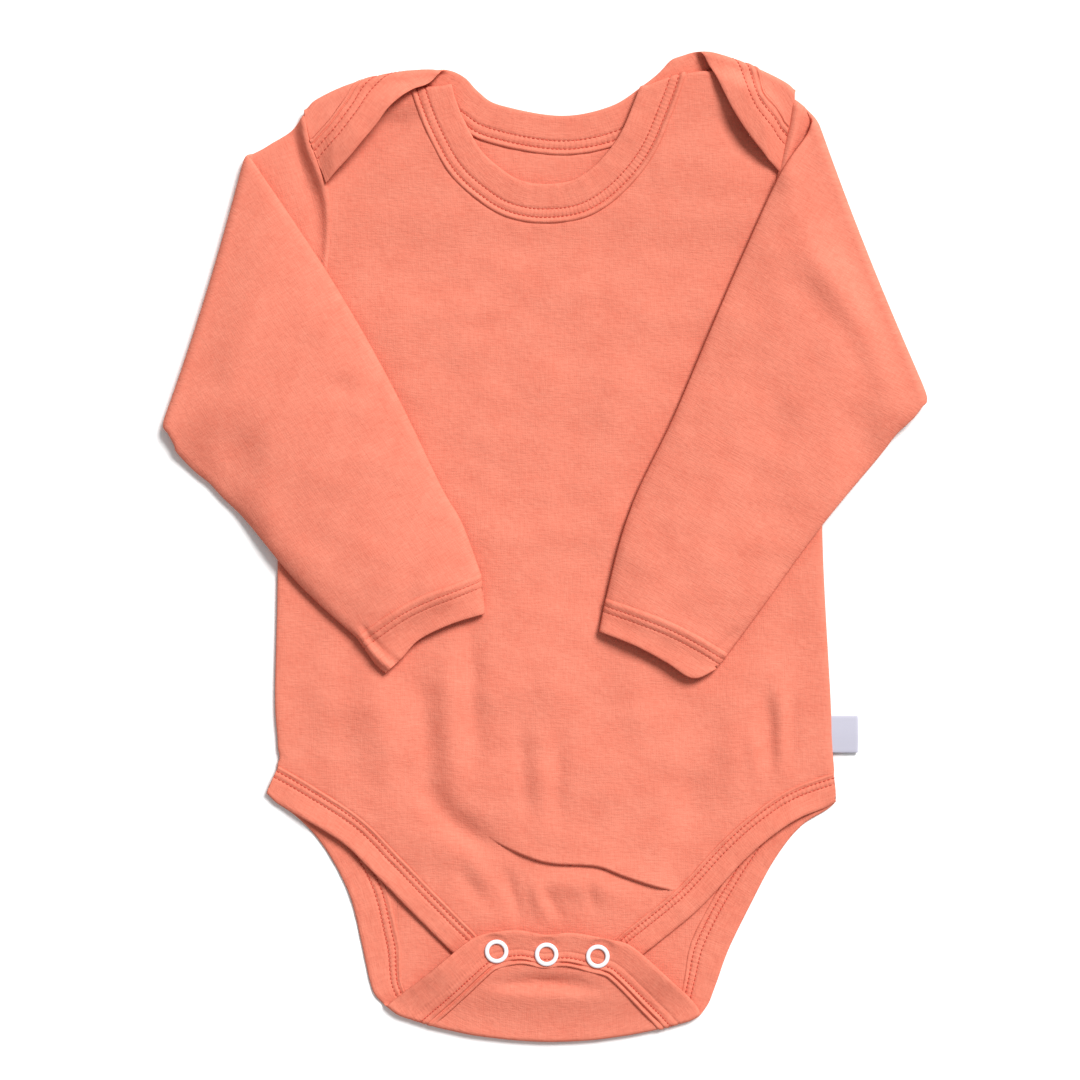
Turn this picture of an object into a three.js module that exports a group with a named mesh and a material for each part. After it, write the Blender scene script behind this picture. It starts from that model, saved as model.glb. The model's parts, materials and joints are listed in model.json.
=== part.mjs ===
// A long-sleeved baby bodysuit in cotton jersey, laid face up on a flat surface. The back lies lowest, the
// front lies on it, the back's shoulders lap over the front, both sleeves are folded across the front, and
// the back's crotch flap turns up over the front's crotch edge, where three ring snaps close it.
// Millimetres. X runs to the right and Y towards the neck as the garment is seen from above, and Z is up.
// Left and right are as seen. The origin is on the surface, under the middle of the garment.
import * as THREE from "three";
import { mergeVertices } from "three/addons/utils/BufferGeometryUtils.js";

// Cloth and layers
const CLOTH = 1.0; // one layer of jersey
const BINDING = 1.2; // a binding, which is folded over the cut edge
const SEAM = 0.35; // space between two pieces where they are sewn together
const ARM_SEAM = 0.6; // and round the armholes, where the cloth slopes
const AIR = 0.8; // space between the two layers of a sleeve or of the body
const BACK_LEVEL = CLOTH / 2; // heights are of the middle of a layer
const BACK_BINDING_LEVEL = BINDING / 2;
const FRONT_LEVEL = 1.5 * CLOTH + AIR;
const MIDDLE = (BACK_LEVEL + FRONT_LEVEL) / 2;
const SHOULDER_LEVEL = 4.0; // the front, between the back's laps
const CROTCH_LEVEL = 2.8; // the front's crotch edge
const LAP_LEVEL = 5.6; // the laps, over the front's shoulders
const FLAP_LEVEL = 6.7; // the flap, over the snaps

// Widths of the bindings
const NECK_BINDING = 16;
const LEG_BINDING = 12;

// Colours
const CORAL = 0xf0876c;
const CORAL_BINDING = 0xee8268;
const WHITE = 0xf2eef2;
const RIBBON = 0xd6d5e4;

// Outlines as seen from above. Each table runs along one edge, a row for each place where it turns.
const LEFT_ARMHOLE = [
  { x: -96.4, y: 173.5 },
  { x: -94.2, y: 162 },
  { x: -87.8, y: 145 },
  { x: -85.8, y: 130 },
  { x: -88, y: 107 },
  { x: -95.5, y: 82 },
  { x: -106.4, y: 69 },
];
const RIGHT_ARMHOLE = [
  { x: 99.2, y: 178.6 },
  { x: 97.4, y: 167 },
  { x: 93.4, y: 149 },
  { x: 91, y: 134 },
  { x: 93.2, y: 107 },
  { x: 100, y: 80 },
  { x: 110.8, y: 65.4 },
];
const LEFT_SIDE = [
  { x: -106.4, y: 69 },
  { x: -106.6, y: -10 },
  { x: -107.6, y: -60 },
  { x: -106.6, y: -78 },
];
const RIGHT_SIDE = [
  { x: 110.8, y: 65.4 },
  { x: 110.2, y: 5 },
  { x: 113.4, y: -60 },
  { x: 114.2, y: -80 },
];
const FRONT_NECK_SEAM = [
  { x: -53.8, y: 181.5 },
  { x: -47.8, y: 165.4 },
  { x: -38.6, y: 148.8 },
  { x: -26.6, y: 137.6 },
  { x: -14.8, y: 131.0 },
  { x: 0, y: 128.8 },
  { x: 16.6, y: 131.4 },
  { x: 30.6, y: 140.6 },
  { x: 42.6, y: 155.0 },
  { x: 50.6, y: 172.6 },
  { x: 56.6, y: 190.0 },
];
const BACK_NECK_EDGE = [
  { x: -34.2, y: 187.2 },
  { x: -27, y: 181.6 },
  { x: -18, y: 176.4 },
  { x: 6.2, y: 172.2 },
  { x: 26, y: 176 },
  { x: 39.4, y: 184.6 },
  { x: 49.4, y: 192.4 },
  { x: 56.4, y: 196.4 },
];
const LEFT_LAP_EDGE = [
  { x: -87.4, y: 144.6 },
  { x: -77.5, y: 155.5 },
  { x: -68.2, y: 166.6 },
  { x: -62.2, y: 174.6 },
  { x: -53.8, y: 181.4 },
  { x: -45.4, y: 185.4 },
];
const RIGHT_LAP_EDGE = [
  { x: 93.4, y: 149 },
  { x: 88.9, y: 153.8 },
  { x: 81, y: 163.8 },
  { x: 74.1, y: 174.6 },
  { x: 67.2, y: 188.4 },
  { x: 64.2, y: 193.6 },
];
const LEFT_FRONT_LEG_EDGE = [
  { x: -29.5, y: -169.0 },
  { x: -37.2, y: -162.2 },
  { x: -52.8, y: -146.6 },
  { x: -66.6, y: -132.4 },
  { x: -80.6, y: -118.6 },
  { x: -98.8, y: -107.4 },
  { x: -112.4, y: -99.8 },
];
const RIGHT_FRONT_LEG_EDGE = [
  { x: 30.5, y: -169.4 },
  { x: 37.7, y: -163.9 },
  { x: 60.2, y: -145.6 },
  { x: 78.0, y: -126.6 },
  { x: 89.8, y: -116.0 },
  { x: 101.8, y: -108.2 },
  { x: 116.6, y: -103.0 },
];
const LEFT_BACK_LEG_EDGE = [
  { x: -112.2, y: -100.2 },
  { x: -100, y: -107.6 },
  { x: -88.6, y: -120 },
  { x: -78.6, y: -138.6 },
  { x: -73.8, y: -157.4 },
  { x: -70.4, y: -173 },
  { x: -67.4, y: -181.6 },
];
const RIGHT_BACK_LEG_EDGE = [
  { x: 116.2, y: -103.6 },
  { x: 102.6, y: -111.4 },
  { x: 91.4, y: -125.4 },
  { x: 80.8, y: -145.4 },
  { x: 73, y: -161.4 },
  { x: 67.6, y: -176.4 },
];
const LEFT_FLAP_EDGE = [
  { x: -60, y: -180.6 },
  { x: -46, y: -169.6 },
  { x: -33, y: -158.8 },
  { x: -25, y: -154.4 },
];
const RIGHT_FLAP_EDGE = [
  { x: 60.4, y: -183.4 },
  { x: 48, y: -171 },
  { x: 36.4, y: -160.6 },
  { x: 28.6, y: -157 },
];
const FRONT_CROTCH_EDGE = [
  { x: -18.0, y: -171.4 },
  { x: 0.0, y: -172.2 },
  { x: 18.0, y: -171.6 },
];
const FLAP_TOP_EDGE = [
  { x: -12, y: -152.6 },
  { x: 0, y: -154.4 },
  { x: 12, y: -153.8 },
];
// Where the bindings' inner edges end: at the laps' armholes, as they lie folded, and at the side seams.
const LAP_ENDS = { left: { x: -93.5, y: 160.4 }, right: { x: 96.8, y: 166.6 } };
const SIDE_ENDS = { left: { x: -106.6, y: -87.6 }, right: { x: 115.0, y: -90.4 } };
// The sleeves: their heads' upper edges, from the shoulder to the crease, and as they lie folded over, their
// upper and lower edges, from the crease to the cuff.
const LEFT_SLEEVE_HEAD = [
  { x: -100.4, y: 166.4 },
  { x: -109.0, y: 160.8 },
];
const RIGHT_SLEEVE_HEAD = [{ x: 103.6, y: 174.8 }];
const LEFT_SLEEVE_TOP = [
  { x: -117.4, y: 154 },
  { x: -87, y: 108.6 },
  { x: -63.6, y: 68 },
  { x: -43, y: 26 },
  { x: -33.8, y: 9.6 },
  { x: -25.9, y: -11.6 },
];
const LEFT_SLEEVE_BOTTOM = [
  { x: -151, y: 46.6 },
  { x: -147, y: 36.6 },
  { x: -139.4, y: 27.4 },
  { x: -122, y: 13.6 },
  { x: -98, y: -14.8 },
  { x: -74.6, y: -36.4 },
];
const RIGHT_SLEEVE_TOP = [
  { x: 105.2, y: 165.4 },
  { x: 93.8, y: 148.2 },
  { x: 78.2, y: 114.2 },
  { x: 52.6, y: 54.2 },
  { x: 34, y: 14 },
  { x: 24.2, y: -21.6 },
];
const RIGHT_SLEEVE_BOTTOM = [
  { x: 151.4, y: 55.4 },
  { x: 146, y: 48.6 },
  { x: 136.6, y: 40 },
  { x: 110.8, y: 9.8 },
  { x: 85.8, y: -24.4 },
  { x: 72, y: -43.2 },
];
const LEFT_CUFF_SEAM = [
  { x: -25.9, y: -11.6 },
  { x: -36.6, y: -15.8 },
  { x: -47.8, y: -20.0 },
  { x: -59.0, y: -25.6 },
  { x: -74.6, y: -36.4 },
];
const RIGHT_CUFF_SEAM = [
  { x: 24.2, y: -21.6 },
  { x: 36.6, y: -25.8 },
  { x: 49.6, y: -30.8 },
  { x: 61.0, y: -36.6 },
  { x: 72.0, y: -43.2 },
];
const LEFT_CUFF_END = [
  { x: -24.4, y: -26.4 },
  { x: -38, y: -30.6 },
  { x: -50.6, y: -36.8 },
  { x: -57.6, y: -44.2 },
  { x: -64.6, y: -50.8 },
];
const RIGHT_CUFF_END = [
  { x: 21.8, y: -33.6 },
  { x: 35.6, y: -39 },
  { x: 48, y: -45.6 },
  { x: 58.6, y: -52 },
  { x: 67.6, y: -48.6 },
];

// Creases: where each runs, as the outer line that shows, how far its middle bows out, and how tightly it
// turns.
const CREASE_STEPS = 3;
const SHOULDER_RADIUS = 2.55;
const TUCK_RADIUS = 0.95;
const SLEEVE_RADIUS = 1.0;
const CROTCH_RADIUS = 1.4;
const TUCK = 10; // how far the front's shoulder ends reach behind
const LEFT_SHOULDER_LINE = { from: { x: -96.6, y: 176.0 }, to: { x: -43.0, y: 191.0 }, bow: 4.0 };
const RIGHT_SHOULDER_LINE = { from: { x: 59.0, y: 199.4 }, to: { x: 100.4, y: 183.0 }, bow: 2.2 };
const LEFT_TUCK_LINE = { from: { x: -96.0, y: 172.5 }, to: { x: -41.0, y: 184.0 }, bow: 2.4 };
const RIGHT_TUCK_LINE = { from: { x: 40.5, y: 184.0 }, to: { x: 99.5, y: 180.0 }, bow: 8.0 };
const LEFT_SLEEVE_LINE = { from: { x: -151.8, y: 52.4 }, to: { x: -119.6, y: 158.4 }, bow: -1.4 };
const RIGHT_SLEEVE_LINE = { from: { x: 109.4, y: 168.4 }, to: { x: 152.4, y: 61.0 }, bow: -1.2 };
const CROTCH_LINE = { from: { x: 67.0, y: -187.0 }, to: { x: -67.0, y: -184.8 }, bow: 12.4 };

// The front's largest folds: where, half their length and width, which way they run in degrees, how high.
const FRONT_FOLDS = [
  { x: 14, y: -123, long: 38, wide: 7, turn: -13, high: 1.3 },
  { x: 16, y: -133, long: 34, wide: 4.5, turn: -13, high: -0.6 },
  { x: -46, y: -112, long: 24, wide: 8, turn: -62, high: -0.4 },
  { x: -30, y: -88, long: 30, wide: 10, turn: -78, high: 0.7 },
  { x: 4, y: -60, long: 60, wide: 46, turn: 90, high: 0.7 },
  { x: 0, y: 90, long: 40, wide: 50, turn: 0, high: 0.6 },
];

// Snaps: their caps show as rings, and a stud and socket lie between the flap and the front.
const SNAPS = [
  { x: -19.5, y: -161.2 },
  { x: 0.4, y: -162.4 },
  { x: 20.8, y: -163.2 },
];
const SNAP_RADIUS = 4.75;
const SNAP_HOLE = 2.95;
const RING_THICK = 0.6;
const POST_RADIUS = 2.0;
const STUD_THICK = 0.6;
const POST_HEIGHT = 1.4;
const SOCKET_THICK = 1.2;

// The folded label in the right side seam
const LABEL = { x: 115.0, y: -75, reach: 9.8, tall: 14.4, thick: 1.0, height: 0.9 };

const point = (row) => new THREE.Vector2(row.x, row.y);
const smooth = (value, low, high) => THREE.MathUtils.smoothstep(value, low, high);

// Points at even steps along a smooth line through the rows of a table.
function along(rows, steps) {
  const curve = new THREE.SplineCurve(rows.map(point));
  curve.arcLengthDivisions = 600;
  return curve.getSpacedPoints(steps);
}

// A line of points moved sideways, to its left if the distance is positive. Where a pin is given, that end
// leans over, so that it would reach the pin at the full width.
function beside(line, distance, { width = distance, start, end } = {}) {
  const last = line.length - 1;
  const moved = line.map((p, i) => {
    const heading = line[Math.min(i + 1, last)].clone().sub(line[Math.max(i - 1, 0)]).normalize();
    return new THREE.Vector2(p.x - heading.y * distance, p.y + heading.x * distance);
  });
  const lean = (i, pin) => {
    if (!pin) return new THREE.Vector2();
    return line[i].clone().lerp(point(pin), distance / width).sub(moved[i]);
  };
  const [first, final] = [lean(0, start), lean(last, end)];
  return moved.map((p, i) => {
    p.addScaledVector(first, smooth(1 - i / last, 0.8, 1));
    return p.addScaledVector(final, smooth(i / last, 0.8, 1));
  });
}

// How far along a line each of its points is, from 0 to 1.
function shares(line) {
  const far = [0];
  for (let i = 1; i < line.length; i++) far.push(far[i - 1] + line[i].distanceTo(line[i - 1]));
  return far.map((d) => d / far[far.length - 1]);
}

// Fills four edges with a grid of points. top and bottom run the same way, and so do start and end, which
// join them.
function fill(top, bottom, start, end) {
  const [ut, ub, vs, ve] = [top, bottom, start, end].map(shares);
  const mix = (a, b, t) => a.clone().lerp(b, t);
  return start.map((_, j) =>
    top.map((__, i) => {
      const u = ut[i] + (ub[i] - ut[i]) * (j / (start.length - 1));
      const v = vs[j] + (ve[j] - vs[j]) * (i / (top.length - 1));
      const across = mix(start[j], end[j], u);
      const down = mix(top[i], bottom[i], v);
      const upper = mix(top[0], top[top.length - 1], u);
      const lower = mix(bottom[0], bottom[bottom.length - 1], u);
      return across.add(down).sub(mix(upper, lower, v));
    }),
  );
}

// Adds close columns at both sides of a grid, where the cloth rolls over. Each point then has share, from 0
// at the very edge to 1 where the roll ends, and a row that doesn't roll has 1 throughout.
const ROLL_ANGLES = [0, 45, 90];
function withRolls(grid, radius, rolls) {
  const edge = (from, to) =>
    ROLL_ANGLES.map((degrees) => {
      const turn = THREE.MathUtils.degToRad(degrees);
      const inset = (radius * (1 - Math.cos(turn))) / from.distanceTo(to);
      return { at: from.clone().lerp(to, inset), share: Math.sin(turn) };
    });
  return grid.map((row, j) => {
    const last = row.length - 1;
    const start = edge(row[0], row[1]);
    const end = edge(row[last], row[last - 1]).reverse();
    const cells = [...start, ...row.slice(1, last).map((at) => ({ at, share: 1 })), ...end];
    return cells.map(({ at, share }) => ({ at, share: rolls(j) ? share : 1 }));
  });
}

// A surface is the middle of a piece of cloth: its points and triangles.
function surface(rows, closed = false) {
  const points = rows.flat();
  const wide = rows[0].length;
  const faces = [];
  for (let j = 0; j + 1 < rows.length; j++) {
    for (let i = 0; i + (closed ? 0 : 1) < wide; i++) {
      const [a, b] = [j * wide + i, j * wide + ((i + 1) % wide)];
      faces.push([a + wide, b + wide, b], [a + wide, b, a]);
    }
  }
  return { points, faces };
}

// One layer of cloth over a grid, at a height that may change from place to place.
function layer(grid, height) {
  return surface(grid.map((row) => row.map((p) => new THREE.Vector3(p.x, p.y, height(p.x, p.y)))));
}

// Cuts the triangles of a surface along a level of a field, so that a fold there is clean.
const NEAR = 0.2;
function slice({ points, faces }, field, level) {
  const values = points.map((p) => field(p.x, p.y) - level).map((v) => (Math.abs(v) < NEAR ? 0 : v));
  const made = new Map();
  const all = points.slice();
  const cut = (a, b) => {
    const key = a < b ? a + "," + b : b + "," + a;
    if (!made.has(key)) {
      const share = values[a] / (values[a] - values[b]);
      made.set(key, all.push(points[a].clone().lerp(points[b], share)) - 1);
    }
    return made.get(key);
  };
  const pieces = [];
  for (const face of faces) {
    const signs = face.map((v) => Math.sign(values[v]));
    if (Math.min(...signs) >= 0 || Math.max(...signs) <= 0) {
      pieces.push(face);
      continue;
    }
    for (const side of [1, -1]) {
      const loop = [];
      face.forEach((v, k) => {
        const w = face[(k + 1) % 3];
        if (Math.sign(values[v]) !== -side) loop.push(v);
        if (values[v] * values[w] < 0) loop.push(cut(v, w));
      });
      for (let k = 1; k + 1 < loop.length; k++) pieces.push([loop[0], loop[k], loop[k + 1]]);
    }
  }
  return { points: all, faces: pieces };
}

// A crease turns the cloth that lies beyond it over, up on top of the rest or down behind it. line is the
// outer edge that shows. level is the height of the cloth before the crease, outside is how far the fold
// reaches past its middle line, and raise lifts what has turned over.
class Crease {
  constructor(line, radius, options = {}) {
    const { level = BACK_LEVEL, down = false, outside = CLOTH / 2, raise = () => 0 } = options;
    const [from, to] = [point(line.from), point(line.to)];
    this.length = from.distanceTo(to);
    this.heading = to.clone().sub(from).normalize();
    this.out = new THREE.Vector2(-this.heading.y, this.heading.x);
    this.start = from.addScaledVector(this.out, -(radius + outside));
    Object.assign(this, { bow: line.bow, radius, level, down, raise });
  }

  // How far along the crease a point is, and how far beyond it.
  place(x, y) {
    const [dx, dy] = [x - this.start.x, y - this.start.y];
    const run = dx * this.heading.x + dy * this.heading.y;
    const middle = (2 * run) / this.length - 1;
    const curve = this.bow * Math.max(0, 1 - middle * middle);
    return { run, curve, beyond: dx * this.out.x + dy * this.out.y - curve };
  }

  at(run, out) {
    return this.start.clone().addScaledVector(this.heading, run).addScaledVector(this.out, out);
  }

  // Where a point that has turned over was before the cloth was folded.
  unfold(p) {
    const { run, curve, beyond } = this.place(p.x, p.y);
    return this.at(run, curve - beyond + Math.PI * this.radius);
  }

  fold(p) {
    const { run, curve, beyond } = this.place(p.x, p.y);
    if (beyond <= 0) return p.clone();
    const way = this.down ? -1 : 1;
    const reach = this.radius - way * (p.z - this.level);
    const turn = Math.min(beyond / this.radius, Math.PI);
    const past = Math.max(beyond - Math.PI * this.radius, 0);
    const flat = this.at(run, curve + reach * Math.sin(turn) - past);
    const height = this.level + way * (this.radius - reach * Math.cos(turn));
    return new THREE.Vector3(flat.x, flat.y, height + this.raise(flat.x, flat.y, past));
  }

  apply(cloth) {
    let cutUp = cloth;
    for (let k = 0; k <= CREASE_STEPS; k++) {
      const level = (Math.PI * this.radius * k) / CREASE_STEPS;
      cutUp = slice(cutUp, (x, y) => this.place(x, y).beyond, level);
    }
    return { points: cutUp.points.map((p) => this.fold(p)), faces: cutUp.faces };
  }
}

// Gives a surface its thickness, as one closed solid.
function thicken({ points, faces }, wall) {
  const normals = points.map(() => new THREE.Vector3());
  const edges = new Map();
  for (const [a, b, c] of faces) {
    const normal = points[b].clone().sub(points[a]).cross(points[c].clone().sub(points[a]));
    for (const v of [a, b, c]) normals[v].add(normal);
    for (const [v, w] of [[a, b], [b, c], [c, a]]) edges.set(v + "," + w, [v, w]);
  }
  normals.forEach((normal) => normal.normalize());
  const offset = (distance) => points.map((p, i) => p.clone().addScaledVector(normals[i], distance));
  const count = points.length;
  const corners = [...offset(wall / 2), ...offset(-wall / 2)];
  const skin = faces.flatMap(([a, b, c]) => [a, b, c, c + count, b + count, a + count]);
  for (const [v, w] of edges.values()) {
    if (!edges.has(w + "," + v)) skin.push(v + count, w + count, w, v + count, w, v);
  }
  let volume = 0;
  for (let i = 0; i < skin.length; i += 3) {
    volume += corners[skin[i]].dot(corners[skin[i + 1]].clone().cross(corners[skin[i + 2]]));
  }
  if (volume < 0) skin.reverse();
  const geometry = new THREE.BufferGeometry().setFromPoints(corners).setIndex(skin);
  return mergeVertices(geometry, 1e-4);
}

const garment = new THREE.Group();

function add(name, geometry, color, { roughness = 0.95, metalness = 0 } = {}) {
  geometry.computeVertexNormals();
  const material = new THREE.MeshStandardMaterial({ color, roughness, metalness });
  const mesh = new THREE.Mesh(geometry, material);
  mesh.name = name;
  garment.add(mesh);
}

// How many columns and rows the cloth has
const COLUMNS = { shoulder: 3, neck: 14, back: 24 };
const ROWS = { armhole: 7, side: 8, sleeve: 10 };

// How much the sleeve's cloth rises to the lap at a place near the shoulder.
function headRise(x, y) {
  const away = Math.abs(x - 3) - 91 - 0.3 * Math.max(0, y - 150);
  const lapped = (LAP_LEVEL - SHOULDER_LEVEL) * smooth(y, 140, 150);
  return ((SHOULDER_LEVEL - FRONT_LEVEL) * smooth(y, 118, 160) + lapped) * (1 - smooth(away, 0, 10));
}

// The height of the front's cloth at a place.
function frontHeight(x, y) {
  const shoulder = smooth(y, 118, 160) * smooth(Math.abs(x - 3), 26, 44);
  const neck = 0.5 * smooth(y, 118, 134) + 0.5 * smooth(y, 140, 168);
  const crotch = smooth(-y, 134, 152);
  const inside = smooth(112 - Math.abs(x - 3), 4, 24) * (1 - crotch);
  let height = FRONT_LEVEL + (SHOULDER_LEVEL - FRONT_LEVEL) * Math.max(shoulder, neck);
  height += (CROTCH_LEVEL - FRONT_LEVEL) * crotch;
  for (const fold of FRONT_FOLDS) {
    const turn = THREE.MathUtils.degToRad(fold.turn);
    const [dx, dy] = [x - fold.x, y - fold.y];
    const run = (dx * Math.cos(turn) + dy * Math.sin(turn)) / fold.long;
    const across = (dy * Math.cos(turn) - dx * Math.sin(turn)) / fold.wide;
    height += fold.high * inside * Math.exp(-run * run - across * across);
  }
  return height;
}

// A folded sleeve rises over the shoulder, and sags to the floor where nothing lies under it.
const SLEEVE_SAG = 2.8;
function sleeveLift(x, y, past) {
  const outside = Math.abs(x - 2.5) - 108.5;
  const below = 68 - 0.33 * outside - y;
  return headRise(x, y) * smooth(past, 0, 8) - SLEEVE_SAG * smooth(outside, 2, 20) * smooth(below, 3, 28);
}

// The flap rises from its crease to lie over the snaps.
const flapLift = (x, y, past) => (FLAP_LEVEL - BACK_LEVEL - 2 * CROTCH_RADIUS) * smooth(past, 2, 26);

const leftShoulder = new Crease(LEFT_SHOULDER_LINE, SHOULDER_RADIUS);
const rightShoulder = new Crease(RIGHT_SHOULDER_LINE, SHOULDER_RADIUS);
const crotch = new Crease(CROTCH_LINE, CROTCH_RADIUS, { raise: flapLift });
// The front's shoulder ends turn down inside the back's creases.
const tuck = { level: SHOULDER_LEVEL, down: true, outside: BINDING / 2 };
const leftTuck = new Crease(LEFT_TUCK_LINE, TUCK_RADIUS, tuck);
const rightTuck = new Crease(RIGHT_TUCK_LINE, TUCK_RADIUS, tuck);
const doubled = { level: FRONT_LEVEL, outside: FRONT_LEVEL, raise: sleeveLift };
const leftSleeveFold = new Crease(LEFT_SLEEVE_LINE, SLEEVE_RADIUS, doubled);
const rightSleeveFold = new Crease(RIGHT_SLEEVE_LINE, SLEEVE_RADIUS, doubled);

// Lines of points that pieces share
const arms = { left: along(LEFT_ARMHOLE, ROWS.armhole), right: along(RIGHT_ARMHOLE, ROWS.armhole) };
// The front's neck seam reaches behind at both ends.
const reach = (crease, row) => {
  const { run, curve } = crease.place(row.x, row.y);
  return crease.at(run, curve + Math.PI * TUCK_RADIUS + TUCK);
};
const frontNeckSeam = along(
  [reach(leftTuck, FRONT_NECK_SEAM[0]), ...FRONT_NECK_SEAM, reach(rightTuck, FRONT_NECK_SEAM.at(-1))],
  COLUMNS.neck,
);
const backNeckEdge = along(
  [
    ...LEFT_LAP_EDGE.map((row) => leftShoulder.unfold(row)),
    ...BACK_NECK_EDGE,
    ...RIGHT_LAP_EDGE.map((row) => rightShoulder.unfold(row)).reverse(),
  ],
  COLUMNS.back,
);
const backNeckPins = {
  width: -NECK_BINDING,
  start: leftShoulder.unfold(LAP_ENDS.left),
  end: rightShoulder.unfold(LAP_ENDS.right),
};
const frontLegEdge = along(
  [...LEFT_FRONT_LEG_EDGE.slice().reverse(), ...FRONT_CROTCH_EDGE, ...RIGHT_FRONT_LEG_EDGE],
  COLUMNS.neck + 2 * COLUMNS.shoulder,
);
const flapEdge = [...LEFT_FLAP_EDGE, ...FLAP_TOP_EDGE, ...RIGHT_FLAP_EDGE.slice().reverse()];
const backLegEdge = along(
  [
    ...LEFT_BACK_LEG_EDGE,
    ...flapEdge.map((row) => crotch.unfold(row)),
    ...RIGHT_BACK_LEG_EDGE.slice().reverse(),
  ],
  COLUMNS.back,
);
const legPins = { width: LEG_BINDING, start: SIDE_ENDS.left, end: SIDE_ENDS.right };

// A strip of cloth beside a line, between two distances from it.
function strip(line, from, to, height, pins = {}) {
  const rows = [0, 0.5, 1].map((share) => beside(line, from + (to - from) * share, pins));
  return layer(rows, height);
}

// Both panels' side edges roll towards each other and end a seam apart.
const ROLL_RADIUS = FRONT_LEVEL - MIDDLE;

// Front
const frontTop = beside(frontNeckSeam, -SEAM);
const frontBottom = beside(frontLegEdge, LEG_BINDING + 1.4 * SEAM, legPins);
const frontEnd = (crease, from, to) => {
  const past = reach(crease, from);
  return Array.from({ length: COLUMNS.shoulder }, (_, i) => past.clone().lerp(to, i / COLUMNS.shoulder));
};
const frontEdges = {
  top: [
    ...frontEnd(leftTuck, arms.left[0], frontTop[0]),
    ...frontTop,
    ...frontEnd(rightTuck, arms.right[0], frontTop.at(-1)).reverse(),
  ],
  left: [...arms.left, ...along([...LEFT_SIDE, frontBottom[0]], ROWS.side).slice(1)],
  right: [...arms.right, ...along([...RIGHT_SIDE, frontBottom.at(-1)], ROWS.side).slice(1)],
};
const frontGrid = fill(
  frontEdges.top,
  frontBottom,
  [frontEdges.top[0], ...frontEdges.left],
  [frontEdges.top.at(-1), ...frontEdges.right],
);
const frontRows = withRolls(frontGrid, ROLL_RADIUS, (j) => j > ROWS.armhole + 1);
const front = frontRows.map((row) =>
  row.map(({ at, share }) => {
    const rim = MIDDLE + SEAM;
    return new THREE.Vector3(at.x, at.y, rim + (frontHeight(at.x, at.y) - rim) * share);
  }),
);
add("front", thicken(rightTuck.apply(leftTuck.apply(surface(front))), CLOTH), CORAL);

// Front neck binding, round the front half of the neck and behind at the shoulders
const frontNeck = strip(frontNeckSeam, 0, NECK_BINDING, frontHeight);
const frontNeckTucked = rightTuck.apply(leftTuck.apply(frontNeck));
add("neck_binding_front", thicken(frontNeckTucked, BINDING), CORAL_BINDING);

// Front leg binding, from side seam to side seam round the front's crotch edge
const frontLeg = strip(frontLegEdge, 0, LEG_BINDING, frontHeight, legPins);
add("leg_binding_front", thicken(frontLeg, BINDING), CORAL_BINDING);

// Back, with its laps and its flap
const backTop = beside(backNeckEdge, -NECK_BINDING - 1.6 * SEAM, backNeckPins);
const backBottom = beside(backLegEdge, LEG_BINDING + 1.4 * SEAM, legPins);
const backSide = (crease, corner, armhole, side, end) => {
  const turned = crease.unfold(armhole[0]);
  return [
    corner,
    corner.clone().lerp(turned, 0.5),
    turned,
    ...armhole,
    ...along([...side, end], ROWS.side).slice(1),
  ];
};
const backGrid = fill(
  backTop,
  backBottom,
  backSide(leftShoulder, backTop[0], arms.left, LEFT_SIDE, backBottom[0]),
  backSide(rightShoulder, backTop.at(-1), arms.right, RIGHT_SIDE, backBottom.at(-1)),
);
const backRows = withRolls(backGrid, ROLL_RADIUS, (j) => j > ROWS.armhole + 3);
const back = backRows.map((row) =>
  row.map(({ at, share }) => {
    const rim = MIDDLE - SEAM;
    return new THREE.Vector3(at.x, at.y, rim + (BACK_LEVEL - rim) * share);
  }),
);
const foldBack = (cloth) => crotch.apply(rightShoulder.apply(leftShoulder.apply(cloth)));
add("back", thicken(foldBack(surface(back)), CLOTH), CORAL);

// Back neck binding, along both laps and the back of the neck, and back leg binding, round both legs and the
// flap
const lowest = () => BACK_BINDING_LEVEL;
const backNeck = strip(backNeckEdge, 0, -NECK_BINDING, lowest, backNeckPins);
add("neck_binding_back", thicken(foldBack(backNeck), BINDING), CORAL_BINDING);
const backLeg = strip(backLegEdge, 0, LEG_BINDING, lowest, legPins);
add("leg_binding_back", thicken(foldBack(backLeg), BINDING), CORAL_BINDING);

// A flattened tube over a grid. Its rows are rings, and its two layers meet along both sides.
function tube(grid) {
  const rows = withRolls(grid, ROLL_RADIUS, () => true).map((row) => {
    const side = (cells, upper) =>
      cells.map(({ at, share }) => {
        const top = FRONT_LEVEL + headRise(at.x, at.y);
        const middle = (top + BACK_LEVEL) / 2;
        return new THREE.Vector3(at.x, at.y, middle + ((upper ? top : BACK_LEVEL) - middle) * share);
      });
    return [...side(row, true), ...side(row.slice(1, -1).reverse(), false)];
  });
  return surface(rows, true);
}

// A sleeve and its cuff. way is 1 for the right one and -1 for the left one.
function addSleeve(side, way, armhole, crease, { shoulder, top, bottom, seam, end }) {
  const unfold = (rows) => rows.map((row) => crease.unfold(row));
  const head = beside(armhole, way * ARM_SEAM);
  const seamEdge = along(unfold(seam), ROWS.armhole);
  const topEdge = along([head[0], ...shoulder, ...unfold(top)], ROWS.sleeve);
  const bottomEdge = along([head.at(-1), ...unfold(bottom)], ROWS.sleeve);
  const cloth = crease.apply(tube(fill(head, seamEdge, topEdge, bottomEdge)));
  add("sleeve_" + side, thicken(cloth, CLOTH), CORAL);
  const endEdge = along(unfold(end), ROWS.armhole);
  const start = SEAM / seamEdge[0].distanceTo(endEdge[0]);
  const band = [start, 0.5, 1].map((share) => seamEdge.map((p, i) => p.clone().lerp(endEdge[i], share)));
  add("cuff_" + side, thicken(crease.apply(tube(band)), BINDING), CORAL_BINDING);
}

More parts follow.
